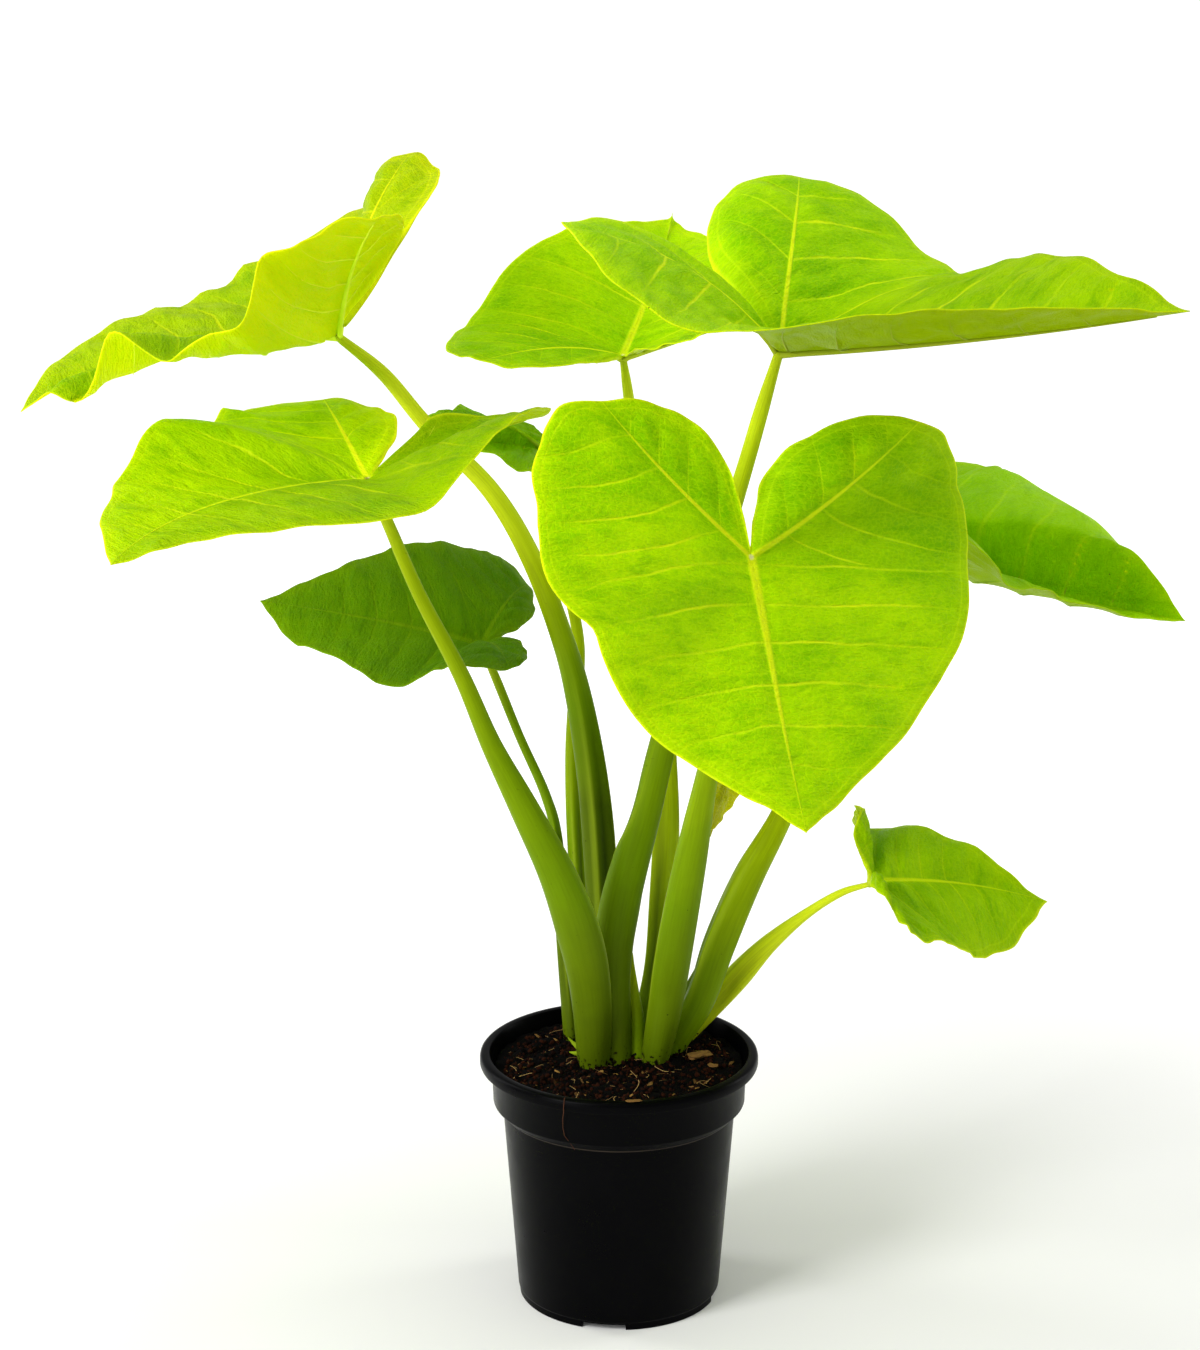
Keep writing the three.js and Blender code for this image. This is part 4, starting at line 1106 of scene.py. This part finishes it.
def pot(material):
    """The pot: one wall thickness turned round the axis, with its lip rounded, and notches in the foot ring.
    Its profile runs from the middle below, up the outside and down the inside."""
    top = POT_HEIGHT
    profile = [
        (0, 0), (GATE_RADIUS - 0.6, 0), (GATE_RADIUS, 0.6), (GATE_RADIUS, FOOT_HEIGHT - 0.5),
        (GATE_RADIUS + 0.5, FOOT_HEIGHT), (DRAIN_CIRCLE - 8, FOOT_HEIGHT), (DRAIN_CIRCLE + 8, FOOT_HEIGHT),
        (FOOT_RADIUS - 4, FOOT_HEIGHT), (FOOT_RADIUS - 3.4, FOOT_HEIGHT - 0.6), (FOOT_RADIUS - 3, 0.5),
        (FOOT_RADIUS - 2.5, 0), (FOOT_RADIUS - 0.5, 0), (FOOT_RADIUS, 0.5), (FOOT_RADIUS, NOTCH_HEIGHT),
        (FOOT_RADIUS, FOOT_HEIGHT - 0.3), (FOOT_RADIUS + 0.3, FOOT_HEIGHT + 0.2),
        (FOOT_RADIUS + 0.9, FOOT_HEIGHT + 0.7), (FOOT_RADIUS + 1.05, FOOT_HEIGHT + 1.5),
        (LEDGE_RADIUS - 0.05, LEDGE_HEIGHT - 0.6), (LEDGE_RADIUS + 0.1, LEDGE_HEIGHT + 0.1),
        (LEDGE_RADIUS + 1.1, LEDGE_HEIGHT + 0.9), (LEDGE_RADIUS + 1.4, LEDGE_HEIGHT + 1.5),
        (LEDGE_RADIUS + 1.9, LEDGE_HEIGHT + 2.6), (COLLAR_RADIUS - 1.3, COLLAR_BASE - 0.7),
        (COLLAR_RADIUS - 0.95, COLLAR_BASE + 0.3), (COLLAR_RADIUS - 0.1, top - LIP_HEIGHT - 2),
        (COLLAR_RADIUS + 0.5, top - LIP_HEIGHT - 0.8), (COLLAR_RADIUS + 1.6, top - LIP_HEIGHT - 0.25),
        (RIM_RADIUS - 1.6, top - LIP_HEIGHT), (RIM_RADIUS - 0.5, top - LIP_HEIGHT + 0.45),
        (RIM_RADIUS, top - LIP_HEIGHT + 1.6), (RIM_RADIUS, top - 3.2), (RIM_RADIUS - 0.35, top - 1.6),
        (RIM_RADIUS - 1.3, top - 0.5), (RIM_RADIUS - 2.8, top),
        (RIM_RADIUS - LIP_WIDTH + 1.6, top), (RIM_RADIUS - LIP_WIDTH + 0.6, top - 0.3),
        (RIM_RADIUS - LIP_WIDTH + 0.1, top - 1.1), (RIM_RADIUS - LIP_WIDTH - 0.3, top - 3),
        (COLLAR_RADIUS - WALL, top - LIP_HEIGHT), (COLLAR_RADIUS - 2 * WALL, COLLAR_BASE),
        (LEDGE_RADIUS - WALL, LEDGE_HEIGHT), (FOOT_RADIUS - 0.4, FOOT_HEIGHT + 4.2),
        (FOOT_RADIUS - 2, FOOT_HEIGHT + 3), (DRAIN_CIRCLE + 8, FOOT_HEIGHT + 3),
        (DRAIN_CIRCLE - 8, FOOT_HEIGHT + 3), (0, FOOT_HEIGHT + 3),
    ]
    starts = NOTCH_START + np.arange(NOTCH_COUNT) * 360 / NOTCH_COUNT
    half_notch = math.degrees(math.asin(NOTCH_WIDTH / 2 / FOOT_RADIUS))
    steps = [start + way * (half_notch + gap) for start in starts for way in (-1, 1) for gap in (-0.15, 0.15)]
    angles = np.unique(np.concatenate([np.arange(0, 360, 2), np.array(steps) % 360]))
    turns = np.radians(angles)
    sides = len(angles)
    off = np.abs((angles[:, None] - starts + 180) % 360 - 180).min(1)
    points = [(0, 0, profile[0][1]), (0, 0, profile[-1][1])]
    for r, z in profile[1:-1]:
        in_foot = r > FOOT_RADIUS - 3.5 and z < NOTCH_HEIGHT
        heights = np.where(in_foot & (off < half_notch), NOTCH_HEIGHT, z)
        points += list(zip(r * np.cos(turns), r * np.sin(turns), heights))
    faces = []
    loops = len(profile) - 2
    for s in range(sides):
        t = (s + 1) % sides
        faces.append([0, 2 + t, 2 + s])
        for k in range(loops - 1):
            a, b = 2 + k * sides + s, 2 + k * sides + t
            faces.append([a, b, b + sides, a + sides])
        faces.append([1, 2 + (loops - 1) * sides + s, 2 + (loops - 1) * sides + t])
    source = make_mesh("pot_wall", points, faces, material)
    piece = run_tree("nursery_pot", source, drilling_tree(), {
        "Holes": DRAIN_COUNT,
        "Hole circle": DRAIN_CIRCLE * MM,
        "Hole radius": DRAIN_RADIUS * MM,
        "Finish": material,
    })
    piece.data.set_sharp_from_angle(angle=math.radians(40))
    return piece


def soil_height(x, y):
    """Height of the soil: highest at the plant, with clods of a few sizes."""
    away = min(1, math.hypot(x - PLANT_CENTRE[0], y - PLANT_CENTRE[1]) / 90)
    clods = 0.9 * math.sin(0.21 * x + 0.4) * math.sin(0.18 * y + 1.1)
    clods += 0.6 * math.sin(0.37 * x - 0.29 * y) + 0.4 * math.sin(0.55 * y + 0.47 * x + 2)
    lumps = 1.5 * noise.noise(Vector((x * 0.11, y * 0.11, 3)))
    lumps += 1.1 * noise.noise(Vector((x * 0.3, y * 0.3, 8)))
    return SOIL_CROWN + (SOIL_EDGE - SOIL_CROWN) * away + clods + lumps


def soil(material):
    """The potting mix: crumbly on top, and filling the pot below. The second result is its top alone, without
    the rim, for what lies on it."""
    sides, rings = 150, 46
    edge = COLLAR_RADIUS - WALL - 0.9
    base = FOOT_HEIGHT + 4
    turns = [s * 2 * math.pi / sides for s in range(sides)]
    round_about = [(math.cos(turn), math.sin(turn)) for turn in turns]
    points = [(0, 0, soil_height(0, 0))]
    for k in range(1, rings + 1):
        for cos, sin in round_about:
            x, y = edge * k / rings * cos, edge * k / rings * sin
            points.append((x, y, soil_height(x, y)))
    for r, z in (
        (COLLAR_RADIUS - 2 * WALL - 0.6, COLLAR_BASE + 0.2), (LEDGE_RADIUS - WALL - 0.6, LEDGE_HEIGHT),
        (FOOT_RADIUS - 2.2, base),
    ):
        points += [(r * cos, r * sin, z) for cos, sin in round_about]
    points.append((0, 0, base))
    faces = [[0, 1 + s, 1 + (s + 1) % sides] for s in range(sides)]
    for k in range(rings + 2):
        for s in range(sides):
            a, b = 1 + k * sides + s, 1 + k * sides + (s + 1) % sides
            faces.append([a, a + sides, b + sides, b])
    last = len(points) - 1 - sides
    faces += [[last + s, len(points) - 1, last + (s + 1) % sides] for s in range(sides)]
    body = make_mesh("potting_mix", points, faces, material)
    strewn = sides * (rings - 3)
    surface = make_mesh("soil_surface", points[:1 + strewn], [f for f in faces if max(f) <= strewn], material)
    return body, surface


def crumb(name, size, seed, rounds):
    """One crumb or chip: a ball of few faces, knocked out of round and flattened to its size in mm."""
    lumps = bmesh.new()
    bmesh.ops.create_icosphere(lumps, subdivisions=rounds, radius=0.5)
    for vertex in lumps.verts:
        bite = noise.noise(vertex.co * 2.2 + Vector((seed * 7.3, seed * 1.7, seed)))
        square = max(abs(c) for c in vertex.co) / 0.5
        vertex.co *= (1 + 0.55 * bite) / (0.45 + 0.55 * square)
        vertex.co = Vector([c * s * MM for c, s in zip(vertex.co, size)])
    mesh = bpy.data.meshes.new(name)
    lumps.to_mesh(mesh)
    lumps.free()
    return show(name, mesh)


def loose_fibre(name, length, width, seed):
    """One loose fibre, as a thin bent strand lying flat."""
    spots = []
    for k in range(9):
        t = k / 8 - 0.5
        bend = Vector((seed * 3.1, t * 1.3, 0))
        side = noise.noise(bend) * length * 0.5
        spots.append((t * length, side, 0.6 + noise.noise(bend + Vector((9, 0, 4))) * 1.6, width))
    return strands(name, [spots], 5, FIBRE)


def strew(name, surface, kinds, density, sizes, tilt, seed, material):
    """Scatters the given kinds over a copy of the surface."""
    group = bpy.data.collections.new(name + "_kinds")
    for kind in kinds:
        bpy.context.scene.collection.objects.unlink(kind)
        group.objects.link(kind)
    piece = run_tree(name, show(name, surface.data.copy()), SCATTER, {
        "Kinds": group, "Per square metre": density, "Smallest": sizes[0], "Largest": sizes[1],
        "Tilt": tilt, "Seed": seed, "Finish": material,
    })
    for kind in kinds:
        bpy.data.objects.remove(kind)
    place(piece, "soil")


LIT = leaf_finish("lime leaf in full light", "#a8da00", "#74b400", "#e0fa18", "#c0e400", "#bed400")
SHADY = leaf_finish("lime leaf in shade", "#70a400", "#5c9200", "#86b008", "#8ab000", "#8ca800")
OLD = leaf_finish("old yellowing leaf", "#a8ac00", "#949c00", "#c0c010", "#b8b200", "#a8a400")
RIB = rib_finish("pale leaf rib", "#d4e03c", "#b4c820")
SHADY_RIB = rib_finish("leaf rib in shade", "#a0b828", "#88a010")
STALK_SKIN = stalk_finish()
PLASTIC = pot_finish()
PEAT = earthy_finish("peat potting mix", "#020101", "#301408", 0.9, 240.0, 0.38)
BARK = earthy_finish("pine bark chips", "#241006", "#a07840", 0.9, 320.0, 0.25)
THREAD = earthy_finish("fine dark root", "#4a2c1c", "#6c4430", 0.8, 200.0)
FIBRE = earthy_finish("coconut fibre", "#4a2c14", "#c8a468", 0.85, 200.0)
STRANDS = strand_tree()
SCATTER = scatter_tree()

# Slot, blade finish and rib finish of each kind of leaf
LOOKS = {
    "lit": ("leaf", LIT, RIB),
    "shade": ("leaf_shade", SHADY, SHADY_RIB),
    "old": ("leaf_old", OLD, SHADY_RIB),
}
for leaf in LEAVES:
    slot, blade_look, rib_look = LOOKS[leaf["look"]]
    piece, heights, normals = blade(leaf, blade_look)
    place(piece, slot, "blade_" + leaf["name"])
    ribs = strands("ribs_" + leaf["name"], rib_lines(leaf, heights, normals), 8, rib_look)
    # The ribs take the painted light and shade of their leaf's lower side
    give(ribs, "painted_glow", np.full(len(ribs.data.vertices), leaf["painted_shading"][-1] - 1))
    place(ribs, slot)
    line, up = stalk_line(leaf)
    top = np.array(leaf["junction"]) - up * 0.3
    petiole = stalk("petiole_" + leaf["name"], line, top, -up, *leaf.get("sheath", ()))
    place(petiole, "stalk", "stalk_" + leaf["name"])

line = np.array(OLD_SHEATH, float)
top = line[0, :3] + [0, 0, 1.5]
place(stalk("dry_sheath", line, top, np.array([0, 0, -1.0]), 0, 0.4, 0.4), "stalk", "old_sheath")

place(pot(PLASTIC), "pot", "pot")
mix, surface = soil(PEAT)
place(mix, "soil", "soil", "corm")
clods = [crumb(f"clod{n}", (1, 0.9, 0.7), n, 1) for n in range(4)]
strew("soil_crumbs", surface, clods, 90000.0, (0.8, 4.0), 3.0, 4, PEAT)
chips = [crumb(f"chip{n}", (1.6, 0.8, 0.35), n + 9, 2) for n in range(5)]
strew("bark_chips", surface, chips, 3000.0, (1.0, 4.5), 0.7, 7, BARK)
fibres = [loose_fibre(f"fibre{n}", 14, 0.22, n + 2) for n in range(6)]
strew("loose_fibres", surface, fibres, 3600.0, (0.4, 1.1), 0.5, 11, FIBRE)
bpy.data.objects.remove(surface)

# A large flake of bark beside the stalks, a smaller one, and a crumb on the lip
for name, size, spot, turn, seed in (
    ("bark_flake", (17, 9, 3), (55, 7, 170), 0.6, 21),
    ("small_bark_flake", (7, 3, 2), (64, -10, 169), -0.5, 22),
    ("lip_crumb", (10, 2.2, 1.4), (9, -91.5, 177), 0.05, 23),
):
    flake = crumb(name, size, seed, 4)
    flake.data.transform(Matrix.Translation(Vector(spot) * MM) @ Matrix.Rotation(turn, 4, "Z"))
    flake.data.materials.append(BARK)
    give(flake, "tint", np.full(len(flake.data.vertices), 0.5))
    place(flake, "soil")

# The torn end of an old sheath, and a root thread that hangs over the pot's front
torn = [[(-22, 14, 168, 2.6), (-27, 15, 171, 2.2), (-31, 17, 174, 1.4), (-35, 18, 178, 0.3)],
        [(-23, 10, 168, 2.2), (-29, 10, 169.5, 1.8), (-34, 11, 170, 0.4)]]
place(strands("torn_sheath", torn, 8, SHADY_RIB), "stalk")
thread = [(-30, -72, 163, 0.25), (-34, -79, 170, 0.25), (-36, -83, 175.8, 0.25), (-36.5, -87.5, 176.3, 0.25),
          (-37, -88.3, 171, 0.25), (-37, -88.4, 167, 0.25), (-37.6, -83, 161, 0.23), (-37.6, -79.5, 153, 0.2),
          (-36.6, -79.3, 147, 0.2), (-32.5, -78.8, 141, 0.18), (-29.8, -77.5, 136, 0.15)]
place(strands("root_thread", [thread], 6, THREAD), "soil")

# Plain pale paper floor, lit up behind the plant
FLOOR_REACH = 14000
corners = [(x, y, 0) for y in (-FLOOR_REACH, FLOOR_REACH) for x in (-FLOOR_REACH, FLOOR_REACH)]
PAPER, node, finish = new_material(
    "pale studio paper", Roughness=0.9, IOR=1.45, Specular_IOR_Level=0.1, Base_Color="#f2f2f0",
    Emission_Color="#ffffff",
)
behind = node("SeparateXYZ", {0: node("TexCoord").outputs["Object"]}).outputs[1]
finish({"Emission Strength": node("MapRange", {
    "Value": behind, "From Min": 0.1, "From Max": 1.6, "To Min": 0.02, "To Max": 0.7,
})})
make_mesh("floor", corners, [[0, 1, 3, 2]], PAPER)

world = bpy.data.worlds.new("studio")
world.use_nodes = True
feed(world.node_tree, world.node_tree.nodes["Background"], {"Color": "#ffffff", "Strength": 0.5})
bpy.context.scene.world = world
bpy.context.scene.view_settings.view_transform = "Standard"

# Large soft studio lights
for name, position, target, size, watts in (
    ("front_softbox", (-1.7, -1.5, 1.9), (0, 0, 0.4), (0.9, 1.4), 48),
    ("overhead_softbox", (0.0, -0.3, 2.4), (0, 0, 0.4), (1.8, 1.8), 10),
    ("low_softbox", (-1.3, -1.3, 0.3), (-0.1, 0, 0.6), (0.9, 0.5), 6),
    ("left_softbox", (-1.5, 0.6, 0.9), (0, 0, 0.3), (0.5, 1.6), 10),
    ("right_softbox", (1.5, 0.6, 0.9), (0, 0, 0.3), (0.5, 1.6), 9),
):
    light = bpy.data.lights.new(name, "AREA")
    light.shape = "RECTANGLE"
    light.size, light.size_y = size
    light.energy = watts
    lamp = show(name, light)
    lamp.location = position
    lamp.rotation_euler = (Vector(target) - Vector(position)).to_track_quat("-Z", "Y").to_euler()

camera = bpy.data.cameras.new("camera")
camera.sensor_width = 36
camera.lens = 92.0
camera.clip_end = 50
view = show("camera", camera)
view.location = (-0.013, -2.2, 1.057)
view.rotation_euler = (math.radians(90 - 15.62), 0, 0)
bpy.context.scene.camera = view
